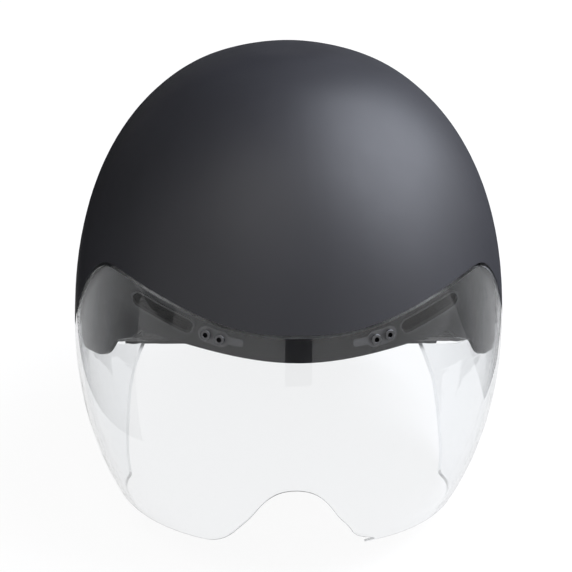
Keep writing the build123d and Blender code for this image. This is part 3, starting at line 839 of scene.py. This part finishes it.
def closed_sheet(name: str, back: np.ndarray, face: np.ndarray) -> bpy.types.Object:
    """Makes a closed quad mesh between two grids, with a map of its own length and width.

    Args:
        name: the new piece's name.
        back: the grid of its back, rows by columns by three, in the head's frame.
        face: the grid of its face, which a pad turns to the head and a strap has its thread on.

    Returns:
        The new object.
    """
    rows, columns = back.shape[:2]
    points = HEAD.to_row(np.concatenate((back.reshape(-1, 3), face.reshape(-1, 3))))
    mesh = bpy.data.meshes.new(name)
    mesh.from_pydata(points.tolist(), [], sheet_faces(rows, columns))
    middle = (back + face) / 2
    run = np.linalg.norm(np.diff(middle, axis=0), axis=-1).mean(axis=1)
    width = np.linalg.norm(np.diff(middle, axis=1), axis=-1).mean(axis=0)
    along = np.concatenate(([0], np.cumsum(run)))
    across = np.concatenate(([0], np.cumsum(width)))
    layer = mesh.uv_layers.new(name=STRAP_MAP)
    for loop in mesh.loops:
        row, column = divmod(loop.vertex_index % (rows * columns), columns)
        layer.data[loop.index].uv = (along[row], across[column])
    mesh.shade_smooth()
    piece = placed(name, mesh)
    face_outwards(mesh)
    return piece


def face_outwards(mesh: bpy.types.Mesh) -> None:
    """Turns a closed mesh's faces so that they all look outwards.

    Args:
        mesh: the mesh, changed in place.
    """
    points = points_of(mesh)
    mesh.calc_loop_triangles()
    corners = np.array([t.vertices for t in mesh.loop_triangles])
    first, second, third = (points[corners[:, i]] for i in range(3))
    volume = np.einsum("ij,ij->i", first, np.cross(second, third)).sum()
    if volume < 0:
        mesh.flip_normals()


def stand_for(node: str) -> None:
    """Hides the node that a soft piece stands in for."""
    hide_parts(node)


@dataclass(frozen=True)
class Puffing:
    """How the foam in a pad pushes its cover out, worked out as cloth under pressure.

    The cloth is run at a larger scale, where the solver is steady on so small a piece.
    """

    scale: float = 20.0
    pressure: float = 4.0
    frames: int = 20
    cap: float = 0.9 * MM
    quality: int = 6
    mass: float = 0.05
    stretch_stiffness: float = 12.0
    bending_stiffness: float = 0.3

    def cover(self, piece: bpy.types.Object, held: np.ndarray) -> bpy.types.Modifier:
        """Makes a pad's cover cloth.

        Args:
            piece: the pad.
            held: how firmly each point is held, from 0 to 1.

        Returns:
            The cloth modifier.
        """
        group = piece.vertex_groups.new(name="held")
        for index, weight in enumerate(held):
            group.add([index], float(weight), "REPLACE")
        cloth = piece.modifiers.new("puff", "CLOTH")
        settings = cloth.settings
        settings.quality, settings.mass = self.quality, self.mass
        settings.tension_stiffness = settings.compression_stiffness = self.stretch_stiffness
        settings.bending_stiffness = self.bending_stiffness
        settings.use_pressure = True
        settings.uniform_pressure_force = self.pressure
        settings.vertex_group_mass = group.name
        settings.effector_weights.gravity = 0
        cloth.point_cache.frame_start, cloth.point_cache.frame_end = 1, self.frames
        return cloth

    def run(self, piece: bpy.types.Object, held: np.ndarray) -> None:
        """Swells a pad's cover where it isn't held.

        Args:
            piece: the pad's closed mesh, changed in place.
            held: how firmly each point is held, from 0 to 1.
        """
        scene, mesh = bpy.context.scene, piece.data
        rest = points_of(mesh)
        middle = rest.mean(axis=0)
        mesh.vertices.foreach_set("co", ((rest - middle) * self.scale).ravel())
        cloth = self.cover(piece, held)
        for step in range(1, self.frames + 1):
            scene.frame_set(step)
        evaluated = piece.evaluated_get(bpy.context.evaluated_depsgraph_get())
        swollen = points_of(evaluated.data) / self.scale + middle
        piece.modifiers.remove(cloth)
        piece.vertex_groups.clear()
        scene.frame_set(1)
        move = swollen - rest
        length = np.linalg.norm(move, axis=1, keepdims=True)
        allowed = self.cap * np.tanh(length / self.cap)
        log.info("%s moved up to %.2f mm before the cap", piece.name, length.max() / MM)
        move *= allowed / np.maximum(length, 1e-9)
        mesh.vertices.foreach_set("co", (rest + move).ravel())
        mesh.update()


@dataclass(frozen=True)
class Pad:
    """One comfort pad: foam under a knit cover, welded flat at its rim and along channels."""

    node: str
    wall: Wall
    channels: tuple[float, ...]
    side: float = 1.0
    step: float = 1.3 * MM
    margin: float = 0.3 * MM
    corner: float = 6.5 * MM
    corner_limit: float = 0.98
    pull: float = 0.035
    back: float = 0.5 * MM
    rim_width: float = 2.0 * MM
    rim_height: float = 1.3 * MM
    height: float = 4.1 * MM
    rise: float = 6.0 * MM
    channel_width: float = 1.5 * MM
    channel_share: float = 0.55
    held_share: float = 0.35
    fill: float = 0.75
    puffing: Puffing = field(default_factory=Puffing)

    def half_sizes(self) -> tuple[np.ndarray, np.ndarray]:
        """Finds the pad's outline in its two free coordinates.

        Returns:
            The outline's middle and its half sizes.
        """
        axes = list({Wall.CROWN: (0, 1), Wall.SIDE: (1, 2)}.get(self.wall, (0, 2)))
        low, high = (corner[axes] for corner in HEAD.box(self.node))
        return (low + high) / 2, (high - low) / 2 - self.margin

    def rounded(
        self, across: np.ndarray, along: np.ndarray, half: np.ndarray
    ) -> tuple[np.ndarray, np.ndarray]:
        """Moves an outline's grid so that its corners are round and its sides pull in.

        Args:
            across: the grid's first coordinate.
            along: its second coordinate.
            half: the outline's half sizes.

        Returns:
            The two coordinates after the move.
        """
        radius = min(self.corner, half.min() * self.corner_limit)
        core = half - radius
        over = [np.maximum(np.abs(v) - c, 0) / radius for v, c in zip((across, along), core)]
        first, second = (
            np.where(
                over[k] > 0, core[k] + radius * over[k] * np.sqrt(1 - over[1 - k] ** 2 / 2),
                np.abs(value),
            )
            for k, value in enumerate((across, along))
        )
        drawn = 1 - self.pull * (1 - (second / half[1]) ** 2)
        return np.sign(across) * first * drawn, np.sign(along) * second

    def thickness(self, across: np.ndarray, along: np.ndarray, half: np.ndarray) -> np.ndarray:
        """The pad's height over its back, low at the rim and along the sewn channels.

        Args:
            across: the grid's first coordinate.
            along: its second coordinate.
            half: the outline's half sizes.

        Returns:
            The height at each point.
        """
        edge = np.minimum(half[0] - np.abs(across), half[1] - np.abs(along))
        share = np.clip((edge - self.rim_width) / self.rise, 0, 1)
        crown = np.sqrt(1 - (1 - share) ** 2)
        run, reach = (along, half[1]) if half[1] > half[0] else (across, half[0])
        for spot in self.channels:
            groove = np.exp(-(((run - spot * reach) / self.channel_width) ** 2))
            crown = crown * (1 - self.channel_share * groove)
        return self.rim_height + (self.height - self.rim_height) * crown

    def build(self) -> None:
        """Makes the pad and puts it in its node's place."""
        middle, half = self.half_sizes()
        counts = [max(8, round(2 * h / self.step)) + 1 for h in half]
        across, along = np.meshgrid(
            np.linspace(-half[0], half[0], counts[0]), np.linspace(-half[1], half[1], counts[1]),
            indexing="ij",
        )
        thick = self.thickness(across, along, half)
        first, second = (v + m for v, m in zip(self.rounded(across, along, half), middle))
        under = np.full_like(thick, self.back)
        back, face = (
            CAVITY.on_wall(self.wall, first, second, inset, self.side)
            for inset in (under, under + thick)
        )
        piece = closed_sheet(self.node + "_cushion", back, face)
        share = (thick - self.rim_height) / (self.height - self.rim_height)
        welded = (share < self.held_share).ravel().astype(float)
        self.puffing.run(piece, np.concatenate((np.ones(thick.size), welded)))
        smooth = piece.modifiers.new("smooth", "SUBSURF")
        smooth.levels = smooth.render_levels = 1
        coat(piece, KNIT)
        stand_for(self.node)
        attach(piece, "cradle" if self.node == "cradle_pad" else "helmet")
        log.info("made %s", piece.name)


@dataclass(frozen=True)
class Padding:
    """The comfort pads: brow, crown, sides and the back of the head."""

    brow_channels: tuple[float, ...] = (-0.62, -0.32, 0.0, 0.32, 0.62)
    crown_channels: tuple[float, ...] = (-0.34, 0.34)
    side_channels: tuple[float, ...] = (-0.34, 0.34)
    cradle_channels: tuple[float, ...] = (-0.3, 0.3)

    def build(self) -> None:
        """Makes the six pads."""
        Pad("brow_pad", Wall.FRONT, self.brow_channels).build()
        Pad("cradle_pad", Wall.REAR, self.cradle_channels, back=6.1 * MM, height=2.3 * MM,
            rim_height=1.0 * MM, puffing=Puffing(cap=0.3 * MM)).build()
        for name, side in SIDES:
            Pad("crown_pad_" + name, Wall.CROWN, self.crown_channels, side).build()
            Pad("side_pad_" + name, Wall.SIDE, self.side_channels, side).build()


# Finds a point on a strap and the way out of it, from how far along and across it lies
StrapPoint = Callable[[float, float], tuple[np.ndarray, np.ndarray]]


@dataclass(frozen=True)
class BoxStitch:
    """A sewn box with a cross in it, which locks two layers of webbing."""

    half_along: float = 3.6 * MM
    half_across: float = 4.4 * MM
    thread: float = 0.24 * MM
    stitch: float = 2.3 * MM
    lift: float = 0.3 * MM
    gap: float = 0.06
    rings: int = 5
    sides: int = 6

    def seams(self) -> list[tuple[tuple[float, float], tuple[float, float]]]:
        """Lists the box's four sides and its cross.

        Returns:
            The start and the end of each line, along and across from the box's middle.
        """
        a, b = self.half_along, self.half_across
        corners = ((-a, -b), (a, -b), (a, b), (-a, b), (-a, -b), (a, b))
        return [*zip(corners, corners[1:]), ((a, -b), (-a, b))]

    def sew(self, name: str, back: np.ndarray, face: np.ndarray, spot: float) -> bpy.types.Object:
        """Sews the box on the face of a strap.

        Args:
            name: the new piece's name.
            back: the grid of the strap's back, in the head's frame.
            face: the grid of its face.
            spot: how far along the strap the box lies, from its end where negative.

        Returns:
            The thread as one object.
        """
        rows, columns = face.shape[:2]
        run = np.linalg.norm(np.diff(face[:, columns // 2], axis=0), axis=-1)
        along = np.concatenate(([0], np.cumsum(run)))
        spot = spot if spot > 0 else along[-1] + spot
        width = np.linalg.norm(np.diff(face[rows // 2], axis=0), axis=-1)
        across = np.concatenate(([0], np.cumsum(width))) - width.sum() / 2

        def place(u: float, v: float) -> tuple[np.ndarray, np.ndarray]:
            """A point on the strap and the way out of it, along and across from the box."""
            row = np.interp(spot + u, along, np.arange(rows))
            column = np.interp(v, across, np.arange(columns))
            i, j = min(int(row), rows - 2), min(int(column), columns - 2)
            share = (row - i, column - j)
            point, under = (
                (1 - share[0]) * ((1 - share[1]) * grid[i, j] + share[1] * grid[i, j + 1])
                + share[0] * ((1 - share[1]) * grid[i + 1, j] + share[1] * grid[i + 1, j + 1])
                for grid in (face, back)
            )
            return point, (point - under) / np.linalg.norm(point - under)

        points, faces = [], []
        for start, end in self.seams():
            count = max(1, round(math.dist(start, end) / self.stitch))
            knots = np.linspace(start, end, count + 1)
            for first, last in zip(knots, knots[1:]):
                self.add_stitch(points, faces, place, first, last)
        mesh = bpy.data.meshes.new(name)
        mesh.from_pydata(HEAD.to_row(np.array(points)).tolist(), [], faces)
        mesh.shade_smooth()
        piece = placed(name, mesh)
        coat(piece, THREAD)
        return piece

    def add_stitch(
        self, points: list[np.ndarray], faces: list[list[int]], place: StrapPoint,
        first: np.ndarray, last: np.ndarray,
    ) -> None:
        """Adds one stitch, a short thread that rises from the webbing and dips in again.

        Args:
            points: the thread's points so far, which get the stitch's.
            faces: its faces so far, likewise.
            place: finds a point on the strap.
            first: where the stitch starts, along and across from the box's middle.
            last: where it ends.
        """
        base = len(points)
        start, end = place(*first)[0], place(*last)[0]
        way = (end - start) / np.linalg.norm(end - start)
        for step in np.linspace(0, 1, self.rings):
            point, out = place(*(first + (last - first) * (self.gap + (1 - 2 * self.gap) * step)))
            side = np.cross(way, out)
            centre = point + out * (self.lift * math.sin(math.pi * step) - self.thread / 2)
            for turn in np.linspace(0, 2 * math.pi, self.sides, endpoint=False):
                offset = side * math.cos(turn) + out * math.sin(turn)
                points.append(centre + offset * self.thread)
        for ring in range(self.rings - 1):
            start_of_ring = base + ring * self.sides
            for k in range(self.sides):
                here, there = start_of_ring + k, start_of_ring + (k + 1) % self.sides
                faces.append([here, there, there + self.sides, here + self.sides])
        faces.append([base + k for k in reversed(range(self.sides))])
        faces.append([base + (self.rings - 1) * self.sides + k for k in range(self.sides)])


def joined(objects: list[bpy.types.Object], name: str) -> bpy.types.Object:
    """Joins objects into the first one.

    Args:
        objects: the objects, which all lie in place.
        name: the name that the joined object gets.

    Returns:
        The joined object.
    """
    with bpy.context.temp_override(
        active_object=objects[0], selected_objects=objects, selected_editable_objects=objects
    ):
        bpy.ops.object.join()
    objects[0].name = objects[0].data.name = name
    return objects[0]


@dataclass(frozen=True)
class Webbing:
    """Woven straps: flat strips with rounded edges that lie over the head's space."""

    stitching: BoxStitch = field(default_factory=BoxStitch)
    clear: float = 6 * MM
    inset: float = 6.6 * MM
    wall: float = 1.2 * MM
    thin_edge: float = 0.15
    edge_power: int = 6
    columns: int = 12
    leg_width: float = 14 * MM
    leg_step: float = 1.5 * MM
    sway: float = 0.18 * MM
    sways: int = 3
    chin_rows: int = 168
    chin_bend: float = 9 * MM
    chin_end: float = 3 * MM

    def half_wall(self) -> np.ndarray:
        """Works out the strip's wall across its width, eased to thin edges.

        Returns:
            Half the wall at each column.
        """
        across = np.linspace(-1, 1, self.columns + 1)
        ease = np.sqrt(1 - np.abs(across) ** self.edge_power)
        return self.wall / 2 * (self.thin_edge + (1 - self.thin_edge) * ease)[None, :]

    def strip(
        self, name: str, back: np.ndarray, face: np.ndarray, spot: float
    ) -> bpy.types.Object:
        """Makes a strip of webbing with its sewn box.

        Args:
            name: the new piece's name.
            back: the grid of its back, in the head's frame.
            face: the grid of its face, which the thread is sewn on.
            spot: how far along it the box lies, from its end where negative.

        Returns:
            The new object.
        """
        strip = closed_sheet(name, back, face)
        coat(strip, WEBBING)
        return joined([strip, self.stitching.sew(name + "_thread", back, face, spot)], name)

    def leg(
        self, name: str, start: np.ndarray, end: np.ndarray, side: float, spot: float
    ) -> bpy.types.Object:
        """Makes one leg of a side strap, straight in the side view.

        Args:
            name: the new piece's name.
            start: along and level of its lower end, at the anchor.
            end: along and level of its upper end, in the divider.
            side: 1 for the right and -1 for the left.
            spot: how far up from the anchor's middle its sewn box lies.

        Returns:
            The new object.
        """
        run = end - start
        length = np.linalg.norm(run)
        run, turn = run / length, np.array((-run[1], run[0])) / length
        rows = max(8, round(length / self.leg_step))
        along, across = np.meshgrid(
            np.linspace(0, length, rows + 1),
            np.linspace(-0.5, 0.5, self.columns + 1) * self.leg_width, indexing="ij",
        )
        place = start + along[..., None] * run + across[..., None] * turn
        sway = self.sway * np.sin(along / length * math.pi * self.sways)
        middle, wall = self.inset + self.wall / 2 + sway, self.half_wall()
        back, face = (
            CAVITY.on_wall(Wall.SIDE, place[..., 0], place[..., 1], inset, side)
            for inset in (middle - wall, middle + wall)
        )
        return self.strip(name, back, face, spot)

    def side_web(self, name: str, side: float) -> bpy.types.Object:
        """Makes the two legs of one side as one piece.

        Args:
            name: the side's name, left or right.
            side: 1 for the right and -1 for the left.

        Returns:
            The new object.
        """
        meet = sum(HEAD.box("strap_divider_" + name)) / 2
        legs = []
        for end in ("front", "rear"):
            low, high = HEAD.box(f"{end}_anchor_{name}")
            anchor, reach = (low + high) / 2, np.linalg.norm((high - low)[1:]) / 2
            legs.append(self.leg(
                f"side_web_{name}_{end}", anchor[1:], meet[1:], side, reach + self.clear
            ))
        return joined(legs, f"side_web_{name}_webbing")

    def chin_half(self, node: str, side: float) -> bpy.types.Object:
        """Makes half of the chin strap, from its divider over the crown down to the buckle.

        Args:
            node: the node that it stands for, which gives its reach.
            side: 1 for the right and -1 for the left.

        Returns:
            The new object.
        """
        low, high = HEAD.box(node)
        near, far = sorted((abs(low[0]), abs(high[0])))
        level = sum(HEAD.box("buckle_socket"))[2] / 2
        plug_low, plug_high = HEAD.box("buckle_plug")
        bend_end = plug_high[0] - plug_low[0] + self.chin_bend
        turn, along = np.meshgrid(
            np.linspace(math.atan2(low[2], far), math.pi / 2, self.chin_rows),
            np.linspace(low[1], high[1], self.columns + 1), indexing="ij",
        )
        form = CAVITY.over_crown(turn, along, self.inset + self.wall / 2)
        normal = form - CAVITY.over_crown(turn, along, self.inset + self.wall)
        normal /= np.linalg.norm(normal, axis=-1, keepdims=True)
        flat = np.clip((bend_end - form[..., 0]) / self.chin_bend, 0, 1)
        flat = flat * flat * (3 - 2 * flat)
        form[..., 2] += (level - form[..., 2]) * flat
        normal = normal * (1 - flat[..., None]) + np.array((0, 0, 1.0)) * flat[..., None]
        normal /= np.linalg.norm(normal, axis=-1, keepdims=True)
        out = normal * self.half_wall()[..., None]
        last = int(np.count_nonzero((form + out)[:, 0, 0] > near))
        back, face = (grid[:last] * np.array((side, 1, 1)) for grid in (form - out, form + out))
        return self.strip(node + "_webbing", back, face, -self.clear)

    def follow_plug(self, strap: bpy.types.Object) -> None:
        """Bakes the right half's place into its mesh; its lower end isn't made to follow the
        buckle's plug.

        Args:
            strap: the right half of the chin strap.
        """
        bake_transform(strap)

    def build(self) -> None:
        """Makes the side webs and both halves of the chin strap."""
        for name, side in SIDES:
            web = self.side_web(name, side)
            stand_for("side_web_" + name)
            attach(web, "helmet")
            log.info("made %s", web.name)
            strap = self.chin_half("chin_strap_" + name, side)
            stand_for("chin_strap_" + name)
            if name == "left":
                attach(strap, "helmet")
            else:
                self.follow_plug(strap)
            log.info("made %s", strap.name)


@dataclass(frozen=True)
class Shell:
    """The outer skin with its trim, inlets, tail panel and foam."""

    def build(self) -> None:
        """Dresses the skin and what is fixed to it."""
        dress(SHELL, "outer_shell")
        dress(EPS, "eps_liner")
        dress(NYLON, "tail_diffuser", *pair("inlet_bezel"))
        dress(RUBBER, "lower_trim")


@dataclass(frozen=True)
class Visor:
    """The clear visor with its brackets and rivets, and the magnets that hold it."""

    def build(self) -> None:
        """Dresses the visor and its latch."""
        dress(LENS, "visor_lens")
        dress(FROSTED, *pair("visor_bracket"))
        dress(NICKEL, *pair("rivet_inner"), *pair("rivet_outer"))
        dress(MAGNET, *pair("latch_magnets"))


@dataclass(frozen=True)
class FitSystem:
    """The cradle behind the head with its dial and racks, and the belts that it runs on."""

    def build(self) -> None:
        """Dresses the rigid pieces of the fit system."""
        dress(NYLON, "rear_cradle", "dial_housing", *pair("side_belt"))
        dress(GRIP, "dial_knob")
        dress(ACETAL, *pair("rack"))


@dataclass(frozen=True)
class Harness:
    """The strap hardware and the webbing."""

    webbing: Webbing = field(default_factory=Webbing)

    def build(self) -> None:
        """Dresses the hardware and makes the straps."""
        dress(NYLON, "buckle_socket", "buckle_plug", *pair("strap_divider"))
        dress(NYLON, *pair("front_anchor"), *pair("rear_anchor"))
        self.webbing.build()


def direction(azimuth: float, elevation: float) -> np.ndarray:
    """Finds the way from the helmet to a place.

    Args:
        azimuth: the place's compass angle in degrees, with zero in front.
        elevation: its height angle in degrees.

    Returns:
        The way, one long.
    """
    turn, lift = math.radians(azimuth), math.radians(elevation)
    return np.array((
        math.sin(turn) * math.cos(lift), -math.cos(turn) * math.cos(lift), math.sin(lift)
    ))


def face_helmet(
    thing: bpy.types.Object, azimuth: float, elevation: float, distance: float
) -> None:
    """Sets up a lamp or a card so that it faces the helmet's middle.

    Args:
        thing: the lamp or the card.
        azimuth: its compass angle in degrees, with zero in front.
        elevation: its height angle in degrees.
        distance: how far off it stands.
    """
    aim = Vector(direction(azimuth, elevation))
    thing.location = (cad_box[0] + cad_box[1]) / 2 + aim * distance
    thing.rotation_euler = aim.to_track_quat("Z", "Y").to_euler()


def stage_sheet(name: str, width: float, height: float) -> bpy.types.Object:
    """Makes a flat sheet that isn't part of the helmet.

    Args:
        name: its name.
        width: how wide it is.
        height: how high it is, or how deep where it lies.

    Returns:
        The new object.
    """
    x, y = width / 2, height / 2
    mesh = bpy.data.meshes.new(name)
    mesh.from_pydata([(-x, -y, 0), (x, -y, 0), (x, y, 0), (-x, y, 0)], [], [(0, 1, 2, 3)])
    sheet = placed(name, mesh)
    return sheet


@dataclass(frozen=True)
class Softbox:
    """One large soft lamp, placed by its direction from the helmet."""

    name: str
    azimuth: float
    elevation: float
    width: float
    height: float
    power: float
    colour: str = "#ffffff"
    distance: float = 1.5

    def build(self) -> None:
        """Hangs the lamp so that it faces the helmet and only its light is seen."""
        data = bpy.data.lights.new(self.name, "AREA")
        data.shape, data.size, data.size_y = "RECTANGLE", self.width, self.height
        data.energy, data.color = self.power, linear(self.colour)[:3]
        lamp = placed(self.name, data)
        face_helmet(lamp, self.azimuth, self.elevation, self.distance)
        lamp.visible_camera = lamp.visible_transmission = False


@dataclass(frozen=True, kw_only=True)
class Card:
    """A black felt card that only mirrored rays see, through the clear visor too if it says so."""

    faded: bool = False
    behind_visor: bool = False


@dataclass(frozen=True)
class StandingCard(Card):
    """A card that stands off from the helmet and faces it."""

    name: str
    azimuth: float
    elevation: float
    width: float
    height: float
    distance: float

    def build(self) -> bpy.types.Object:
        """Makes the card.

        Returns:
            The new object.
        """
        sheet = stage_sheet(self.name, self.width, self.height)
        face_helmet(sheet, self.azimuth, self.elevation, self.distance)
        return sheet


@dataclass(frozen=True)
class LyingCard(Card):
    """A card just over the floor, from its west to its east edge and from south to north."""

    name: str
    west: float
    east: float
    south: float
    north: float
    level: float

    def build(self) -> bpy.types.Object:
        """Makes the card.

        Returns:
            The new object.
        """
        sheet = stage_sheet(self.name, self.east - self.west, self.north - self.south)
        sheet.location = ((self.west + self.east) / 2, (self.south + self.north) / 2, self.level)
        return sheet


@dataclass(frozen=True)
class PhotoCamera:
    """The photograph's camera: a long lens a little above the head's level, nearly in front."""

    azimuth: float = -2.4
    elevation: float = 15.0
    distance: float = 1.3
    roll: float = 0.6
    sensor: float = 36.0
    pixels: int = 572
    focal_pixels: float = 2686
    aim_up: float = 16.6 * MM
    aim_left: float = 1.3 * MM

    def build(self) -> None:
        """Sets up the camera, by its place in the head's frame."""
        data = bpy.data.cameras.new("camera")
        data.sensor_width = self.sensor
        data.lens = self.sensor * self.focal_pixels / self.pixels
        turn = math.radians(self.azimuth)
        back = direction(self.azimuth, self.elevation)
        right = np.array((math.cos(turn), math.sin(turn), 0.0))
        up = np.cross(back, right)
        aim = up * self.aim_up - right * self.aim_left
        place = Vector(HEAD.to_row(aim + back * self.distance))
        axes = HEAD.axes()
        pose = Matrix([v @ axes for v in (right, up, back)]).transposed().to_4x4()
        pose = pose @ Matrix.Rotation(math.radians(self.roll), 4, "Z")
        camera = placed("camera", data)
        camera.matrix_world = Matrix.Translation(place) @ pose
        bpy.context.scene.camera = camera


@dataclass(frozen=True)
class Studio:
    """Floor, backdrop, lamps, dark cards and the camera at the photograph's angle."""

    lamps: tuple[Softbox, ...] = (
        Softbox("key", 99, 46, 1.9, 1.5, 82, "#eef3ff"),
        Softbox("top", -40, 55, 1.2, 1.0, 9),
        Softbox("left_fill", -75, 20, 0.8, 0.8, 2.0),
    )
    cards: tuple[StandingCard | LyingCard, ...] = (
        StandingCard("camera_card", 2.5, 12.0, 0.42, 0.8, 1.7, behind_visor=True),
        StandingCard("left_card", -105, 36.0, 3.4, 3.0, 1.7),
        StandingCard("rear_card", 180, 42.0, 4.6, 3.6, 1.9),
        LyingCard("floor_card_left", -2.0, -0.16, -0.1, 2.0, 4 * MM),
        LyingCard("floor_card_rear", -0.16, 2.0, 0.25, 2.0, 5 * MM),
        LyingCard("floor_card_right", 0.16, 2.0, 0.0, 0.25, 6 * MM),
        LyingCard("band_card_left", -0.95, -0.1, -0.2, 0.14, 7 * MM, faded=True, behind_visor=True),
        LyingCard("band_card_right", 0.1, 0.95, -0.2, 0.14, 8 * MM, faded=True, behind_visor=True),
    )
    camera: PhotoCamera = field(default_factory=PhotoCamera)
    card_fade: float = 0.8
    ambient: float = 0.34
    floor_size: float = 12.0
    floor_glow: float = 0.93
    paper: str = "#f2f2f2"
    white: str = "#ffffff"

    def build(self) -> None:
        """Sets up everything round the helmet."""
        self.backdrop()
        self.floor()
        for lamp in self.lamps:
            lamp.build()
        self.set_up_cards()
        self.camera.build()
        bpy.context.scene.view_settings.view_transform = "Standard"

    def seen(self, tree: bpy.types.NodeTree) -> bpy.types.NodeSocket:
        """Tells what is seen from what only lights the helmet.

        Args:
            tree: the node tree of a material or of the world.

        Returns:
            One for what the camera, gloss or clear pieces see, zero for light on the object.
        """
        path = add_node(tree, "ShaderNodeLightPath")
        either = add_node(tree, "ShaderNodeMath", {"operation": "MAXIMUM"}, {
            0: path.outputs["Is Camera Ray"], 1: path.outputs["Is Glossy Ray"],
        })
        return add_node(tree, "ShaderNodeMath", {"operation": "MAXIMUM"}, {
            0: either.outputs["Value"], 1: path.outputs["Is Transmission Ray"],
        }).outputs["Value"]

    def backdrop(self) -> None:
        """Hangs a backdrop that is white where it is seen and softer where it lights."""
        world = bpy.data.worlds.new("studio")
        bpy.context.scene.world = world
        tree = empty_tree(world)
        strength = add_node(tree, "ShaderNodeMapRange", {"To Min": self.ambient, "To Max": 1.0}, {
            "Value": self.seen(tree),
        })
        light = add_node(tree, "ShaderNodeBackground", {"Color": linear(self.white)}, {
            "Strength": strength.outputs["Result"],
        })
        add_node(tree, "ShaderNodeOutputWorld", links={"Surface": light.outputs["Background"]})

    def floor(self) -> None:
        """Lays matte white paper that is white where it is seen and keeps a faint shadow."""
        sheet = stage_sheet("floor", self.floor_size, self.floor_size)
        material = bpy.data.materials.new("matte_white_paper")
        tree = empty_tree(material)
        paper = add_node(tree, "ShaderNodeBsdfDiffuse", {"Color": linear(self.paper)})
        glow = add_node(tree, "ShaderNodeEmission", {"Color": linear(self.white)})
        share = add_node(tree, "ShaderNodeMath", {"operation": "MULTIPLY", 1: self.floor_glow}, {
            0: self.seen(tree),
        })
        mix = add_node(tree, "ShaderNodeMixShader", links={
            0: share.outputs["Value"], 1: paper.outputs["BSDF"], 2: glow.outputs["Emission"],
        })
        add_node(tree, "ShaderNodeOutputMaterial", links={"Surface": mix.outputs["Shader"]})
        sheet.data.materials.append(material)

    def faded_share(
        self, tree: bpy.types.NodeTree, cover: bpy.types.NodeSocket
    ) -> bpy.types.NodeSocket:
        """Lets a card's cover fade out from its middle to its edges.

        Args:
            tree: the felt's nodes.
            cover: how much of the felt shows.

        Returns:
            How much of it shows after the fade.
        """
        spot = add_node(
            tree, "ShaderNodeMapping", {"Location": (-1, -1, 0), "Scale": (2, 2, 1)},
            {"Vector": add_node(tree, "ShaderNodeTexCoord").outputs["Generated"]},
        )
        fade = add_node(tree, "ShaderNodeTexGradient", {"gradient_type": "SPHERICAL"}, {
            "Vector": spot.outputs["Vector"],
        })
        ease = add_node(tree, "ShaderNodeMapRange", {
            "interpolation_type": "SMOOTHSTEP", "To Max": self.card_fade,
        }, {"Value": fade.outputs["Fac"]})
        return add_node(tree, "ShaderNodeMath", {"operation": "MULTIPLY"}, {
            0: cover, 1: ease.outputs["Result"],
        }).outputs["Value"]

    def felt(self, faded: bool) -> bpy.types.Material:
        """Makes black felt, which is there for mirrored rays alone.

        Args:
            faded: whether it fades out to the card's edges, or covers it whole.

        Returns:
            The new material.
        """
        material = bpy.data.materials.new("faded_black_felt" if faded else "black_felt")
        tree = empty_tree(material)
        felt = add_node(tree, "ShaderNodeBsdfDiffuse", {"Color": (0, 0, 0, 1)})
        clear = add_node(tree, "ShaderNodeBsdfTransparent")
        path = add_node(tree, "ShaderNodeLightPath")
        cover = add_node(tree, "ShaderNodeMath", {"operation": "GREATER_THAN", 1: 0.5}, {
            0: path.outputs["Glossy Depth"],
        }).outputs["Value"]
        if faded:
            cover = self.faded_share(tree, cover)
        mix = add_node(tree, "ShaderNodeMixShader", links={
            0: cover, 1: clear.outputs["BSDF"], 2: felt.outputs["BSDF"],
        })
        add_node(tree, "ShaderNodeOutputMaterial", links={"Surface": mix.outputs["Shader"]})
        return material

    def set_up_cards(self) -> None:
        """Sets up the black cards: behind the camera, along the sides and behind."""
        felts = {faded: self.felt(faded) for faded in (False, True)}
        for card in self.cards:
            sheet = card.build()
            sheet.data.materials.append(felts[card.faded])
            sheet.visible_camera = sheet.visible_shadow = sheet.visible_diffuse = False
            sheet.visible_transmission = card.behind_visor


def main() -> None:
    """Builds the studio, then the helmet's sub-assemblies in order."""
    Studio().build()
    for part in (Shell(), Visor(), FitSystem(), Harness(), Padding()):
        part.build()
        log.info("built %s", type(part).__name__)


if __name__ == "__main__":
    main()
